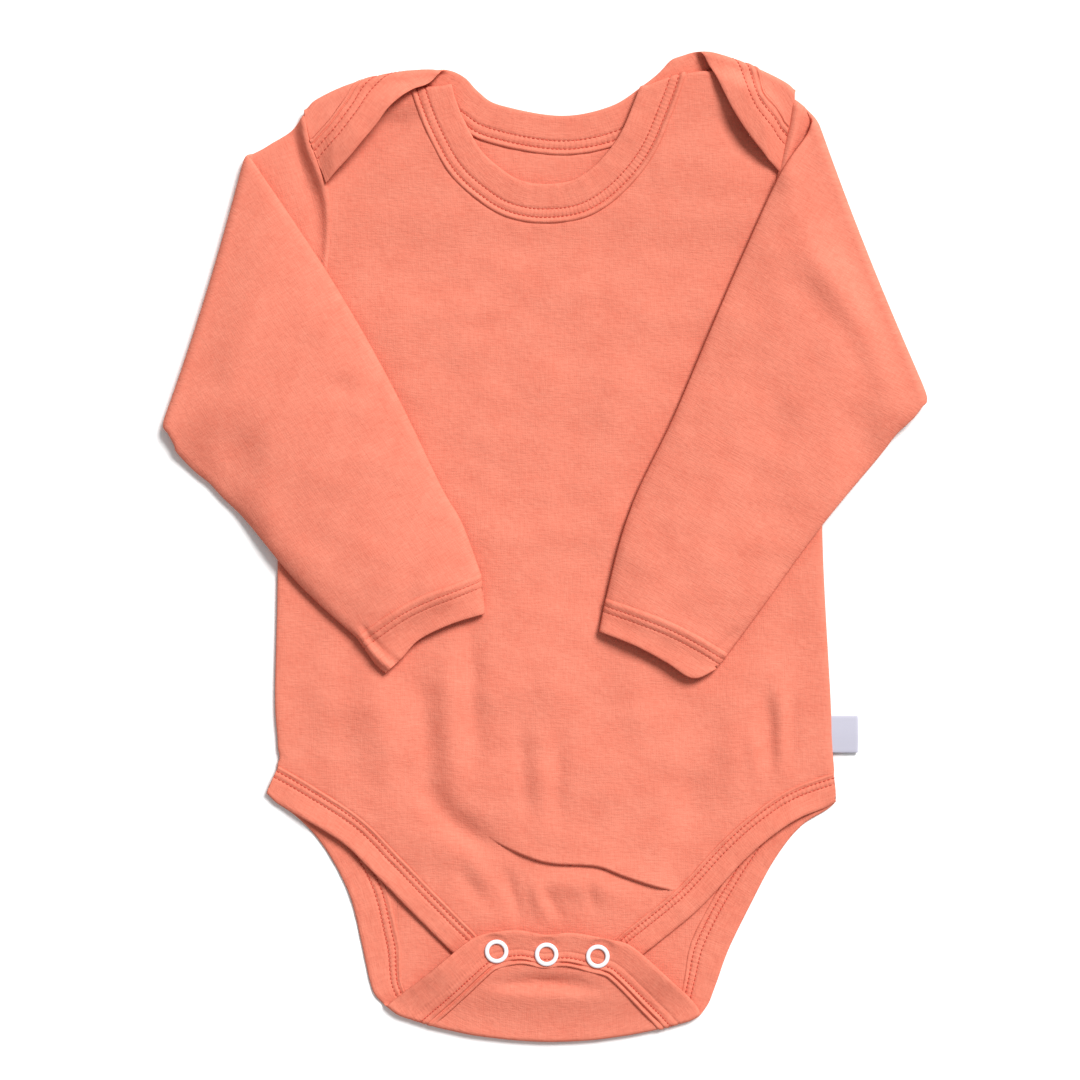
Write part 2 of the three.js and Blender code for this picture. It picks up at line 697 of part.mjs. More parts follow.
addSleeve("left", -1, arms.left, leftSleeveFold, {
  shoulder: LEFT_SLEEVE_HEAD,
  top: LEFT_SLEEVE_TOP,
  bottom: LEFT_SLEEVE_BOTTOM,
  seam: LEFT_CUFF_SEAM,
  end: LEFT_CUFF_END,
});
addSleeve("right", 1, arms.right, rightSleeveFold, {
  shoulder: RIGHT_SLEEVE_HEAD,
  top: RIGHT_SLEEVE_TOP,
  bottom: RIGHT_SLEEVE_BOTTOM,
  seam: RIGHT_CUFF_SEAM,
  end: RIGHT_CUFF_END,
});

// Snaps. Upwards: a ring under the front's crotch edge, the stud on it, the socket under the flap, and a
// ring on it.
function turned(profile, sides) {
  const geometry = new THREE.LatheGeometry(profile.map(([r, z]) => new THREE.Vector2(r, z)), sides);
  geometry.deleteAttribute("uv").deleteAttribute("normal").rotateX(Math.PI / 2);
  return mergeVertices(geometry, 1e-4);
}
function ring(inner, thick, sides, bevel = 0) {
  const corners = [
    [inner, 0],
    [SNAP_RADIUS, 0],
    [SNAP_RADIUS, thick - bevel],
    [SNAP_RADIUS - bevel, thick],
    [inner + bevel, thick],
    [inner, thick - bevel],
    [inner, 0],
  ];
  return turned(corners.filter(([r, z], i) => bevel || (i !== 2 && i !== 5)), sides);
}
const stud = [
  [0, 0],
  [SNAP_RADIUS, 0],
  [SNAP_RADIUS, STUD_THICK],
  [POST_RADIUS, STUD_THICK],
  [POST_RADIUS, STUD_THICK + POST_HEIGHT],
  [0, STUD_THICK + POST_HEIGHT],
];
const bandTop = CROTCH_LEVEL + BINDING / 2;
SNAPS.forEach(({ x, y }, i) => {
  const place = (name, geometry, z) => {
    add(name + "_" + (i + 1), geometry.translate(x, y, z), WHITE, { roughness: 0.35 });
  };
  const bandBottom = CROTCH_LEVEL - BINDING / 2;
  place("snap_back_ring", ring(SNAP_HOLE, RING_THICK, 18), bandBottom - SEAM - RING_THICK);
  place("snap_stud", turned(stud, 18), bandTop + SEAM);
  place("snap_socket", ring(POST_RADIUS + SEAM, SOCKET_THICK, 18), bandTop + STUD_THICK + 2 * SEAM);
  place("snap_ring", ring(SNAP_HOLE, RING_THICK, 28, 0.2), FLAP_LEVEL - 0.1 + BINDING / 2 + SEAM);
});

// Label, a folded ribbon loop in the side seam
function labelShape() {
  const [half, corner] = [LABEL.tall / 2, 1.6];
  const shape = new THREE.Shape();
  shape.moveTo(0, -half);
  shape.lineTo(LABEL.reach - corner, -half);
  shape.quadraticCurveTo(LABEL.reach, -half, LABEL.reach, corner - half);
  shape.lineTo(LABEL.reach, half - corner);
  shape.quadraticCurveTo(LABEL.reach, half, LABEL.reach - corner, half);
  shape.lineTo(0, half);
  return shape;
}
const labelDepth = { depth: LABEL.thick, bevelEnabled: false, curveSegments: 3 };
const label = new THREE.ExtrudeGeometry(labelShape(), labelDepth);
label.deleteAttribute("uv").deleteAttribute("normal").translate(LABEL.x, LABEL.y, LABEL.height);
add("label", mergeVertices(label, 1e-4), RIBBON);

export default garment;
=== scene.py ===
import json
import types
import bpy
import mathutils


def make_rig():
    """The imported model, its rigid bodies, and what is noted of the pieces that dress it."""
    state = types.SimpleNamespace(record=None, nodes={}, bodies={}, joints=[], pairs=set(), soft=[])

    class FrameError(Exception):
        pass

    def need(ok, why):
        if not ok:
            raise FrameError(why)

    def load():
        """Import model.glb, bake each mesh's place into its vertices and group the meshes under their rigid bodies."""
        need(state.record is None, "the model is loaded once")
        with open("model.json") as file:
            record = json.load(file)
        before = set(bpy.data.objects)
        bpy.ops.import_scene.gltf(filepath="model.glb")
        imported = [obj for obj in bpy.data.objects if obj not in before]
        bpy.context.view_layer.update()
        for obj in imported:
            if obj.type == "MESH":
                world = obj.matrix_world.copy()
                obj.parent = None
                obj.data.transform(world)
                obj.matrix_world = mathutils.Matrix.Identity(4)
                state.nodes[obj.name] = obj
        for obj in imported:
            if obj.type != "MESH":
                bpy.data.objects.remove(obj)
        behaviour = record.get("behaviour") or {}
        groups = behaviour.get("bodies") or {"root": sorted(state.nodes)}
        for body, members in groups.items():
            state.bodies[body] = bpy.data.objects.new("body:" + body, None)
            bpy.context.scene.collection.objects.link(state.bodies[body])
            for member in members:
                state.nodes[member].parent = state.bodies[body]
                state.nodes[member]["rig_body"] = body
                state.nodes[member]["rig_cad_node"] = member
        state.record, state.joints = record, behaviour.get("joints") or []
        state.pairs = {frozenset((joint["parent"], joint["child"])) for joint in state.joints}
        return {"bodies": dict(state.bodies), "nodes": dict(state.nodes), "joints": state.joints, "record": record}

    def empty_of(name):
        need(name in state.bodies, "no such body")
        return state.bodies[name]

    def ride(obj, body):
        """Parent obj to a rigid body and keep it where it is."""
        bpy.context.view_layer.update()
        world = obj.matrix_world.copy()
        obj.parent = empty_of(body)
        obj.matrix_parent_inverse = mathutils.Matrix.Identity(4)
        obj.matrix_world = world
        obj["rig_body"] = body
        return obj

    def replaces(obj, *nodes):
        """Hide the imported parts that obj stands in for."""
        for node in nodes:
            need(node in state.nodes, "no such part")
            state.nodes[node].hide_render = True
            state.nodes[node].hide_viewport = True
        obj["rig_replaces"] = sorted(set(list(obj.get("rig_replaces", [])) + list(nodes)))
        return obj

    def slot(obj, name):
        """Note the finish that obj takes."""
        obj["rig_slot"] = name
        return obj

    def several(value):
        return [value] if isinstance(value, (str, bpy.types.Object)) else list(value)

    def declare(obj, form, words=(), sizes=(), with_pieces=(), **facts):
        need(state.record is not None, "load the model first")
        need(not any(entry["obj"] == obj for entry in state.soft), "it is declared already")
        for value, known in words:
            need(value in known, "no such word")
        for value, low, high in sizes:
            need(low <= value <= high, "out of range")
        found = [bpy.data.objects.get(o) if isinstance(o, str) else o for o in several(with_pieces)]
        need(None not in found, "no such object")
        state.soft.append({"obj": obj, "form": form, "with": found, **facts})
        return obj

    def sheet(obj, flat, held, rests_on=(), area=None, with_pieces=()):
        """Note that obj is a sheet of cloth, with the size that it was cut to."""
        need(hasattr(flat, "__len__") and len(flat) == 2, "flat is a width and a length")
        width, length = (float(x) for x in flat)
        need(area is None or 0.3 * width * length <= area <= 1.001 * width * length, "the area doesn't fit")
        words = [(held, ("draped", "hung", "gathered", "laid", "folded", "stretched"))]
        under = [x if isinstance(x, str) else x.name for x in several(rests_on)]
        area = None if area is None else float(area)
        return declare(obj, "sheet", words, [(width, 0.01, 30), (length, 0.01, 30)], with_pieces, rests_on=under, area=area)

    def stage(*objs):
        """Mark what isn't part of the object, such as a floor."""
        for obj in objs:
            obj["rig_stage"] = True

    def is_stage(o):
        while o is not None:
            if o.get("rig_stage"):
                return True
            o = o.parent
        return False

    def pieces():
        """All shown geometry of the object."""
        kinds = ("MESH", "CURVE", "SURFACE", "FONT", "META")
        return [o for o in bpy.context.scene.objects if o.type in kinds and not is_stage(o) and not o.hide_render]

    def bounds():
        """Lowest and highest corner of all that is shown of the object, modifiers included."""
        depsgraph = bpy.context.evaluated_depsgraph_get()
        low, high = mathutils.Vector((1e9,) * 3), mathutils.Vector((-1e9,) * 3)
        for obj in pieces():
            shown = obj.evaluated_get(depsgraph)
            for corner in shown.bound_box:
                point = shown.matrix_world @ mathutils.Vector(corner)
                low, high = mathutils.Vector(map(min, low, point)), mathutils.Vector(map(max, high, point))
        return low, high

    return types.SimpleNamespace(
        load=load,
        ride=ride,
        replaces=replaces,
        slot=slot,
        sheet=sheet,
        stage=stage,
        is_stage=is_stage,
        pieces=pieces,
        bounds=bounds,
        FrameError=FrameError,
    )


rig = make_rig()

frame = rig.load()
cad_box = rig.bounds()

import json
from functools import partialmethod

import bpy
import numpy as np

# The front: one panel of fine cotton jersey, cut from both shoulders to the crotch and laid on the back. Its
# sides are sewn to the back's, and its shoulder ends turn down inside the back's creases, because both
# shoulders are open laps. Sizes are in millimetres, seen from above, until a piece's mesh is made.
MM = 0.001
WALL = 0.9
BAND_WALL = 1.2
BACK_LEVEL = 0.5
FRONT_LEVEL = 2.3
MIDDLE = (BACK_LEVEL + FRONT_LEVEL) / 2
SHOULDER_LEVEL = 4.0
CROTCH_LEVEL = 2.8
LEG_BAND = 12
TUCK_RADIUS = 0.95
TUCK = 10
SIDE_ROLL = 3.2
UNDER_BAND = 0.8
# How high the belly stands, and how far down a fold can go and how softly it stops there.
BELLY = 2.9
LEAST_BULGE = 0.7
SOFT_STOP = 0.35
# Every table of an edge has the columns x, y.
LEFT_ARMHOLE = [
    (-96.4, 173.5), (-94.2, 162), (-87.8, 145), (-85.8, 130), (-88, 107), (-95.5, 82), (-106.4, 69),
]
RIGHT_ARMHOLE = [
    (99.2, 178.6), (97.4, 167), (93.4, 149), (91, 134), (93.2, 107), (100, 80), (110.8, 65.4),
]
LEFT_SIDE = [(-106.4, 69), (-106.6, -10), (-107.6, -60), (-106.6, -78)]
RIGHT_SIDE = [(110.8, 65.4), (110.2, 5), (113.4, -60), (114.2, -80)]
FRONT_NECK_SEAM = [
    (-53.8, 181.5), (-47.8, 165.4), (-38.6, 148.8), (-26.6, 137.6), (-14.8, 131), (0, 128.8),
    (16.6, 131.4), (30.6, 140.6), (42.6, 155), (50.6, 172.6), (56.6, 190),
]
LEFT_FRONT_LEG_EDGE = [
    (-29.5, -169), (-37.2, -162.2), (-52.8, -146.6), (-66.6, -132.4), (-80.6, -118.6), (-98.8, -107.4),
    (-112.4, -99.8),
]
FRONT_CROTCH_EDGE = [(-18, -171.4), (0, -172.2), (18, -171.6)]
RIGHT_FRONT_LEG_EDGE = [
    (30.5, -169.4), (37.7, -163.9), (60.2, -145.6), (78, -126.6), (89.8, -116), (101.8, -108.2),
    (116.6, -103),
]
LEFT_SIDE_END = (-106.6, -87.6)
RIGHT_SIDE_END = (115, -90.4)
# Folds in the front: from x, y, to x, y, bow to the left, width on the left and on the right, height.
FRONT_FOLDS = [
    (-50, -95, -22, -120, -2, 6, 4.5, -1.9),
    (-42, -109, -20, -121, 0, 4.5, 4.5, -1.1),
    (-51, -50, -47, -106, 2, 6, 4.5, -1.2),
    (-39, -40, -37, -98, -1, 5, 5, 0.9),
    (-30, -30, -27, -92, 0, 4.5, 4.5, -1.2),
    (-10, -70, -8, -106, 0, 4, 4, -1.0),
    (5, -76, 4.6, -108, 0, 3.6, 3.6, -1.0),
    (-2, -74, -2, -106, 0, 4, 4, 0.5),
    (-70, -40, -62, -108, 0, 8, 8, 1.3),
    (30, -30, 34, -90, 4, 9, 9, 0.8),
    (-2, -40, 2, -78, 3, 8, 8, 0.6),
    (0, -133, 30, -139, 0, 5, 5, 1.0),
    (-32, -128, -20, -134, 0, 5, 5, 0.8),
    (-90, -40, -92, -84, 0, 8, 8, 0.6),
    (60, -92, 56, -112, 0, 6, 6, -1.2),
    (76, -60, 74, -96, 0, 7, 7, 1.1),
    (-15.4, -131, -10, -151, 0, 2.2, 2.2, -1.7),
    (-5, -134, -1, -148, 0, 3.6, 2.4, 1.4),
    (0, -138, 8, -152, 0, 2, 2, -1.5),
    (17, -134, 20, -146, 0, 2.2, 2.2, -1.0),
    (-34, -128, -24, -144, 0, 3.6, 3.6, -0.9),
    (88, -58, 90, -86, 0, 2.6, 3.4, -1.8),
    (99, -60, 100, -86, 0, 2.2, 2.8, -1.5),
    (95, -56, 94, -90, 0, 3, 3, 1.4),
    (107, -76, 106, -91, 0, 2.4, 2.6, -1.3),
    (82, -70, 84, -92, 0, 3, 3, 0.8),
    (-60, 100, -20, 60, 6, 14, 14, 0.5),
    (60, 104, 24, 50, -5, 14, 12, 0.5),
    (-6, 118, 2, 40, 3, 12, 12, 0.5),
]
# The front's one sharp crease, over the crotch: the cloth above it hangs over the cloth below.
CROTCH_CREASE = [
    (-26, -114), (-17.8, -119.4), (-6.2, -124.6), (3.6, -127), (20.1, -128), (30.6, -131.8), (42.4, -135.8),
    (52, -138),
]
# Hollows in the front under the laps.
LAP_HOLLOWS = [
    (70, 182, 90, 150, 0, 9, 10, -1.9),
    (-82, 148, -48, 180, 0, 7, 6, -2.4),
]
# Corners that handling has softened: x, y, how far they give in x and y, and over what radius.
SOFT_CORNERS = [
    (-97, 175.8, 1.0, -1.0, 3.2), (100.6, 181.8, -1.2, -0.1, 3), (51.5, 194.5, -1.0, 0.9, 5),
    (61.8, 198.6, 0, -0.9, 3.4), (-33, 186.5, 0.9, 1.0, 6), (-40.6, 191.2, -0.5, -0.8, 3),
    (-113.4, -101, 1.1, 1.4, 4), (-105.6, -84.2, 1.5, 0, 2.4), (117.2, -103.4, -0.7, 1.0, 4),
    (-65.8, -185.7, 1.3, 1.5, 5), (64.2, -187.8, -1.1, 0.8, 4), (-143, 33, 1.2, 0.9, 7),
    (-136, 25.5, 1.4, 1.4, 7), (147, 47, -1.4, 1.1, 12), (153, 57, -0.5, 0.5, 5), (-66, -52.8, 1.0, 1.0, 4),
]


def smooth(value, low, high):
    share = np.clip((value - low) / (high - low), 0, 1)
    return share * share * (3 - 2 * share)


def bell(value, width):
    return np.exp(-((value / width) ** 2))


def lengths(line):
    """How far along a line each of its points is."""
    return np.concatenate([[0], np.cumsum(np.linalg.norm(np.diff(line[:, :2], axis=0), axis=1))])


def along(rows, steps):
    """Points at even steps along a smooth line through the rows of a table."""
    rows = np.array(rows, float)
    last = len(rows) - 1
    place = np.linspace(0, last, 60 * last + 1)
    k = np.minimum(place.astype(int), last - 1)
    t = (place - k)[:, None]
    near, far = rows[k], rows[k + 1]
    into = (far - rows[np.maximum(k - 1, 0)]) / 2
    onward = (rows[np.minimum(k + 2, last)] - near) / 2
    square, cube = 3 * (far - near) - 2 * into - onward, 2 * (near - far) + into + onward
    fine = near + into * t + square * t**2 + cube * t**3
    run = lengths(fine)
    return np.column_stack([np.interp(np.linspace(0, run[-1], steps + 1), run, c) for c in fine.T])


def beside(line, distance, width=1, start=None, end=None, reach=32):
    """A line moved to its left. An end with a pin leans over, to reach the pin at the full width."""
    last = len(line) - 1
    place = np.arange(last + 1)
    heading = line[np.minimum(place + reach, last)] - line[np.maximum(place - reach, 0)]
    heading /= np.linalg.norm(heading, axis=1, keepdims=True)
    distance = np.broadcast_to(distance, len(line))
    moved = line + distance[:, None] * np.column_stack([-heading[:, 1], heading[:, 0]])
    for i, pin, near in ((0, start, 1 - place / last), (last, end, place / last)):
        if pin is not None:
            lean = line[i] + (np.array(pin) - line[i]) * distance[i] / width - moved[i]
            moved = moved + lean * smooth(near, 0.8, 1)[:, None]
    return moved


def fill(top, bottom, start, end, fade=None):
    """A grid of points between four edges. With a fade, both sides' bends die out within that share."""
    ut, ub, vs, ve = (lengths(line) / lengths(line)[-1] for line in (top, bottom, start, end))
    down = np.linspace(0, 1, len(start))[:, None]
    across = np.linspace(0, 1, len(top))[None, :]
    u = (ut + (ub - ut) * down)[..., None]
    v = (vs[:, None] + (ve - vs)[:, None] * across)[..., None]
    near, far = (1 - smooth(u, 0, fade), smooth(u, 1 - fade, 1)) if fade else (1 - u, u)
    ends = top[None] + (bottom - top)[None] * v
    start_bend = start[:, None] - top[0] - (bottom[0] - top[0]) * v
    end_bend = end[:, None] - top[-1] - (bottom[-1] - top[-1]) * v
    return ends + near * start_bend + far * end_bend


def bordered(grid, insets):
    """The grid with close points near both ends of each row. It also gets how far from the end each is."""
    rows = []
    for row in grid:
        run = lengths(row)
        middle = np.linspace(insets[-1], run[-1] - insets[-1], len(row))[1:-1]
        at = np.concatenate([insets, middle, run[-1] - insets[::-1]])
        columns = [np.interp(at, run, column) for column in row.T]
        rows.append(np.column_stack(columns + [np.minimum(at, run[-1] - at)]))
    return np.array(rows)


def rounded(distance, radius):
    """How far a rolled edge has risen at a distance in from it, from 0 to 1."""
    return np.sqrt(1 - (1 - np.clip(distance, 0, radius) / radius) ** 2)


def surface(grid, closed=False):
    """The points and triangles of a grid, each row a ring if it is closed."""
    high, wide, size = grid.shape
    index = np.arange(high * wide).reshape(high, wide)
    if closed:
        index = np.column_stack([index, index[:, 0]])
    a, b, c, d = index[:-1, :-1], index[:-1, 1:], index[1:, :-1], index[1:, 1:]
    faces = [np.stack(corners, -1).reshape(-1, 3) for corners in ((c, d, b), (c, b, a))]
    return grid.reshape(-1, size), np.concatenate(faces)


def cut_along(points, faces, values):
    """Cuts the triangles that cross the line where the values are 0, so that a fold there is clean."""
    values = np.where(abs(values) < 0.1, 0, values)
    signs = np.sign(values)[faces]
    crossing = (signs.min(1) < 0) & (signs.max(1) > 0)
    made, extra, pieces = {}, [], []
    for face in faces[crossing].tolist():
        for side in (1, -1):
            loop = []
            for v, w in zip(face, face[1:] + face[:1]):
                if values[v] * side >= 0:
                    loop.append(v)
                if values[v] * values[w] < 0:
                    key = (min(v, w), max(v, w))
                    if key not in made:
                        made[key] = len(points) + len(extra)
                        share = values[v] / (values[v] - values[w])
                        extra.append(points[v] + (points[w] - points[v]) * share)
                    loop.append(made[key])
            pieces += [(loop[0], loop[k], loop[k + 1]) for k in range(1, len(loop) - 1)]
    if not pieces:
        return points, faces
    return np.vstack([points, extra]), np.vstack([faces[~crossing], pieces])


class Crease:
    """Turns the cloth beyond a line over, up on the rest or down behind it, in the columns x, y, z."""

    def __init__(self, start, end, bow, radius, level=BACK_LEVEL, down=False, outside=0.5, lift=None):
        start, end = np.array(start), np.array(end)
        self.length = np.linalg.norm(end - start)
        self.heading = (end - start) / self.length
        self.out = np.array([-self.heading[1], self.heading[0]])
        self.start = start - self.out * (radius + outside)
        self.bow, self.radius, self.level, self.down, self.lift = bow, radius, level, down, lift

    def place(self, xy):
        run = (xy - self.start) @ self.heading
        curve = self.bow * np.maximum(0, 1 - (2 * run / self.length - 1) ** 2)
        return run, curve, (xy - self.start) @ self.out - curve

    def at(self, run, out):
        return self.start + np.multiply.outer(run, self.heading) + np.multiply.outer(out, self.out)

    def unfold(self, rows):
        run, curve, beyond = self.place(np.array(rows, float))
        return self.at(run, curve - beyond + np.pi * self.radius)

    def fold(self, points):
        run, curve, beyond = self.place(points[:, :2])
        way = -1 if self.down else 1
        reach = self.radius - way * (points[:, 2] - self.level)
        turn = np.minimum(beyond / self.radius, np.pi)
        past = np.maximum(beyond - np.pi * self.radius, 0)
        flat = self.at(run, curve + reach * np.sin(turn) - past)
        height = self.level + way * (self.radius - reach * np.cos(turn))
        if self.lift:
            height = height + self.lift(flat[:, 0], flat[:, 1], past)
        turned = points.copy()
        over = beyond > 0
        turned[over, :3] = np.column_stack([flat, height])[over]
        return turned

    def apply(self, points, faces, steps=8):
        for k in range(steps + 1):
            level = np.pi * self.radius * k / steps
            points, faces = cut_along(points, faces, self.place(points[:, :2])[2] - level)
        return self.fold(points), faces


def thicken(points, faces, wall):
    """Gives a surface its two skins and a round rim. Its fourth column is the wall's share at each point."""
    half = wall / 2 * points[:, 3:4]
    corners = points[faces, :3]
    normals = np.zeros((len(points), 3))
    outward = np.zeros((len(points), 3))
    turned = np.cross(corners[:, 1] - corners[:, 0], corners[:, 2] - corners[:, 0])
    for k in range(3):
        np.add.at(normals, faces[:, k], turned)
    normals /= np.linalg.norm(normals, axis=1, keepdims=True)
    edges = np.vstack([faces[:, [0, 1]], faces[:, [1, 2]], faces[:, [2, 0]]])
    _, first, times = np.unique(np.sort(edges, axis=1), axis=0, return_index=True, return_counts=True)
    v, w = edges[first[times == 1]].T
    sideways = np.cross(points[w, :3] - points[v, :3], normals[v] + normals[w])
    for ends in (v, w):
        np.add.at(outward, ends, sideways / np.linalg.norm(sideways, axis=1, keepdims=True))
    rim = np.unique(np.concatenate([v, w]))
    outward[rim] /= np.linalg.norm(outward[rim], axis=1, keepdims=True)
    count = len(points)
    skins = [points.copy(), points.copy()]
    skins[0][:, :3] += normals * half
    skins[1][:, :3] -= normals * half
    solid = [faces, faces[:, ::-1] + count]
    order = np.full(count, -1)
    order[rim] = np.arange(len(rim))
    around = [(v, w)]
    for k, angle in enumerate(np.radians([45, 90, 135])):
        ring = points[rim].copy()
        ring[:, :3] += half[rim] * (normals[rim] * np.cos(angle) + outward[rim] * np.sin(angle))
        skins.append(ring)
        first = 2 * count + k * len(rim)
        around.append((order[v] + first, order[w] + first))
    around.append((v + count, w + count))
    for (a, b), (c, d) in zip(around, around[1:]):
        solid += [np.column_stack([c, d, b]), np.column_stack([c, b, a])]
    return np.vstack(skins), np.vstack(solid)


def beside_fold(x, y, fold):
    """How far along a fold a point is, from 0 to 1, and how far to its left."""
    x0, y0, x1, y1, bow = fold[:5]
    long = np.hypot(x1 - x0, y1 - y0)
    hx, hy = (x1 - x0) / long, (y1 - y0) / long
    run = ((x - x0) * hx + (y - y0) * hy) / long
    side = (y - y0) * hx - (x - x0) * hy - bow * (1 - (2 * np.clip(run, 0, 1) - 1) ** 2)
    return run, side


def folds_at(x, y, folds):
    height = np.zeros_like(x)
    for fold in folds:
        left, right, high = fold[5:]
        run, side = beside_fold(x, y, fold)
        ends = smooth(run, -0.25, 0.4) * smooth(1 - run, -0.25, 0.4)
        height += high * ends * bell(side, np.where(side > 0, left, right))
    return height


def ripples(x, y, seed, longest=62, count=9):
    """Soft unevenness of cloth that was smoothed by hand: waves in many directions, about -1 to 1 in all."""
    chance = np.random.default_rng(seed)
    height = np.zeros_like(x)
    for k in range(count):
        long = longest * 0.8**k
        turn, start = chance.uniform(0, np.pi), chance.uniform(0, 2 * np.pi)
        bend = 1.3 * np.sin((y * np.cos(turn) - x * np.sin(turn)) / long * 2 + start * 3)
        wave = np.sin((x * np.cos(turn) + y * np.sin(turn)) / long * 2 * np.pi + start + bend)
        height += 0.42 * 0.8**k * wave
    return height


crotch_line = along(CROTCH_CREASE, 48)


def over_crease(x, y):
    """How far along the front's sharp crease a point is, from 0 to 1, and how far above it."""
    line_x, line_y = crotch_line.T
    tilt = np.interp(x, line_x, np.gradient(line_y, line_x))
    side = (y - np.interp(x, line_x, line_y)) / np.sqrt(1 + tilt**2)
    return (x - line_x[0]) / (line_x[-1] - line_x[0]), side


def overhang(x, y):
    """The step in the front at its sharp crease."""
    run, side = over_crease(x, y)
    ends = smooth(run, 0.02, 0.24) * smooth(1 - run, 0, 0.1)
    above = 1.3 * np.exp(-((np.maximum(side - 1, 0) / 16) ** 1.4))
    below = -0.6 * bell(np.minimum(side, 0), 4.5)
    return ends * (below + (above - below) * smooth(side, 0.3, 1.0))


def front_bulge(x, y):
    """How much the front's cloth stands up from lying flat."""
    inside = smooth(112 - abs(x - 3), 4, 26) * (1 - smooth(-y, 136, 156)) * (1 - smooth(y, 110, 134))
    broad = BELLY * np.exp(-(((x + 4) / 62) ** 2) - ((y + 78) / 60) ** 2)
    height = broad + folds_at(x, y, FRONT_FOLDS) + 0.5 * ripples(x, y, 5) + overhang(x, y)
    over_floor = SOFT_STOP * np.log1p(np.exp((height + LEAST_BULGE) / SOFT_STOP))
    return inside * (over_floor - LEAST_BULGE)


def front_height(x, y):
    shoulder = smooth(y, 118, 160) * smooth(abs(x - 3), 26, 44)
    neck = 0.5 * smooth(y, 118, 134) + 0.5 * smooth(y, 140, 168)
    crotch = smooth(-y, 134, 152)
    height = FRONT_LEVEL + (SHOULDER_LEVEL - FRONT_LEVEL) * np.maximum(shoulder, neck)
    hollow = folds_at(x, y, LAP_HOLLOWS) * (1 - smooth(y, 168, 178))
    return height + (CROTCH_LEVEL - FRONT_LEVEL) * crotch + front_bulge(x, y) + hollow


class Dye:
    """A value in a material. Sums on it add Math nodes, and node() adds any other node."""

    def __init__(self, tree, socket=None):
        self.tree = tree
        self.socket = socket

    def node(self, kind, settings, sockets, output=0):
        made = self.tree.nodes.new(kind)
        for name, value in settings.items():
            setattr(made, name, value)
        for name, value in sockets.items():
            if isinstance(value, Dye):
                self.tree.links.new(value.socket, made.inputs[name])
            else:
                made.inputs[name].default_value = value
        return Dye(self.tree, made.outputs[output] if made.outputs else None)

    def math(self, operation, second=0.0, first=None):
        sockets = {0: self if first is None else first, 1: second}
        return self.node("ShaderNodeMath", {"operation": operation}, sockets)

    def __rsub__(self, other):
        return self.math("SUBTRACT", self, other)

    __add__ = __radd__ = partialmethod(math, "ADD")
    __sub__ = partialmethod(math, "SUBTRACT")
    __mul__ = __rmul__ = partialmethod(math, "MULTIPLY")
    __truediv__ = partialmethod(math, "DIVIDE")
    __pow__ = partialmethod(math, "POWER")
    __abs__ = partialmethod(math, "ABSOLUTE")

    def wave(self):
        """A sine of this value, between 0 and 1."""
        return self.math("SINE") * 0.5 + 0.5

    def mix(self, first, second):
        """One colour, and another where this value is 1."""
        return self.node("ShaderNodeMix", {"data_type": "RGBA"}, {0: self, 6: first, 7: second}, 2)

    def cloth(self):
        """The flat cloth's coordinates in millimetres, together and apart."""
        flat = self.node("ShaderNodeUVMap", {"uv_map": "cloth"}, {})
        return flat, *(self.node("ShaderNodeSeparateXYZ", {}, {0: flat}, k) for k in (0, 1))

    def bump(self, strength, distance, height):
        sockets = {"Strength": strength, "Distance": distance * MM, "Height": height}
        return self.node("ShaderNodeBump", {}, sockets)

    def skin(self, sockets):
        shader = self.node("ShaderNodeBsdfPrincipled", {}, sockets)
        self.node("ShaderNodeOutputMaterial", {}, {"Surface": shader})


def plain_material(name):
    made = bpy.data.materials.new(name)
    made.use_nodes = True
    made.node_tree.nodes.clear()
    return made, Dye(made.node_tree)


def jersey(name, colour, shade, relief=0.15, wale=0.82, course=0.64):
    """Washed single jersey: faint columns of V loops, slubs both ways, a soft nap, slightly uneven dye, and painted
    shade in the knit's hollows.
    """
    made, dye = plain_material(name)
    flat, u, v = dye.cloth()

    def noise(across, along_it, detail=2.0):
        """Noise with so many waves for each millimetre across and along the cloth."""
        scale = (across, along_it, 1)
        scaled = dye.node("ShaderNodeVectorMath", {"operation": "MULTIPLY"}, {0: flat, 1: scale})
        return dye.node("ShaderNodeTexNoise", {}, {"Vector": scaled, "Scale": 1.0, "Detail": detail})

    drift = noise(0.11, 0.06) - 0.5
    column = abs((u / wale + drift * 1.6).math("FRACT") - 0.5)
    loop = ((v / course + column * 1.4 + drift) * (2 * np.pi)).wave()
    knit = (1 - (column * 2) ** 2) * 0.6 + loop * 0.4
    slubs = noise(0.3, 1.9) * 0.6 + noise(1.5, 0.26) * 0.4
    nap = noise(2.4, 2.4, 3.0)
    cockle = noise(0.42, 0.5)
    height = knit * 0.22 + slubs * 1.9 + nap * 0.8 + cockle * 1.6
    tone = noise(0.06, 0.08, 3.0) * 0.7 + noise(0.22, 1.3) * 0.75 + noise(1.1, 0.2) * 0.6 + nap * 0.35
    # Base colour: uneven dye from the tone noises, plus painted shade that darkens the knit's low loops.
    dye.skin({
        "Base Color": ((tone - 0.84) * 1.5 + knit * 0.1).mix(shade, colour),
        "Roughness": 0.84 + nap * 0.14,
        "Normal": dye.bump(0.8, relief, height),
        "Specular IOR Level": 0.1,
        "Sheen Weight": 0.05,
        "Sheen Roughness": 0.45,
        "Sheen Tint": (1, 0.72, 0.62, 1),
    })
    return made


def placed(name, data):
    made = bpy.data.objects.new(name, data)
    bpy.context.scene.collection.objects.link(made)
    return made


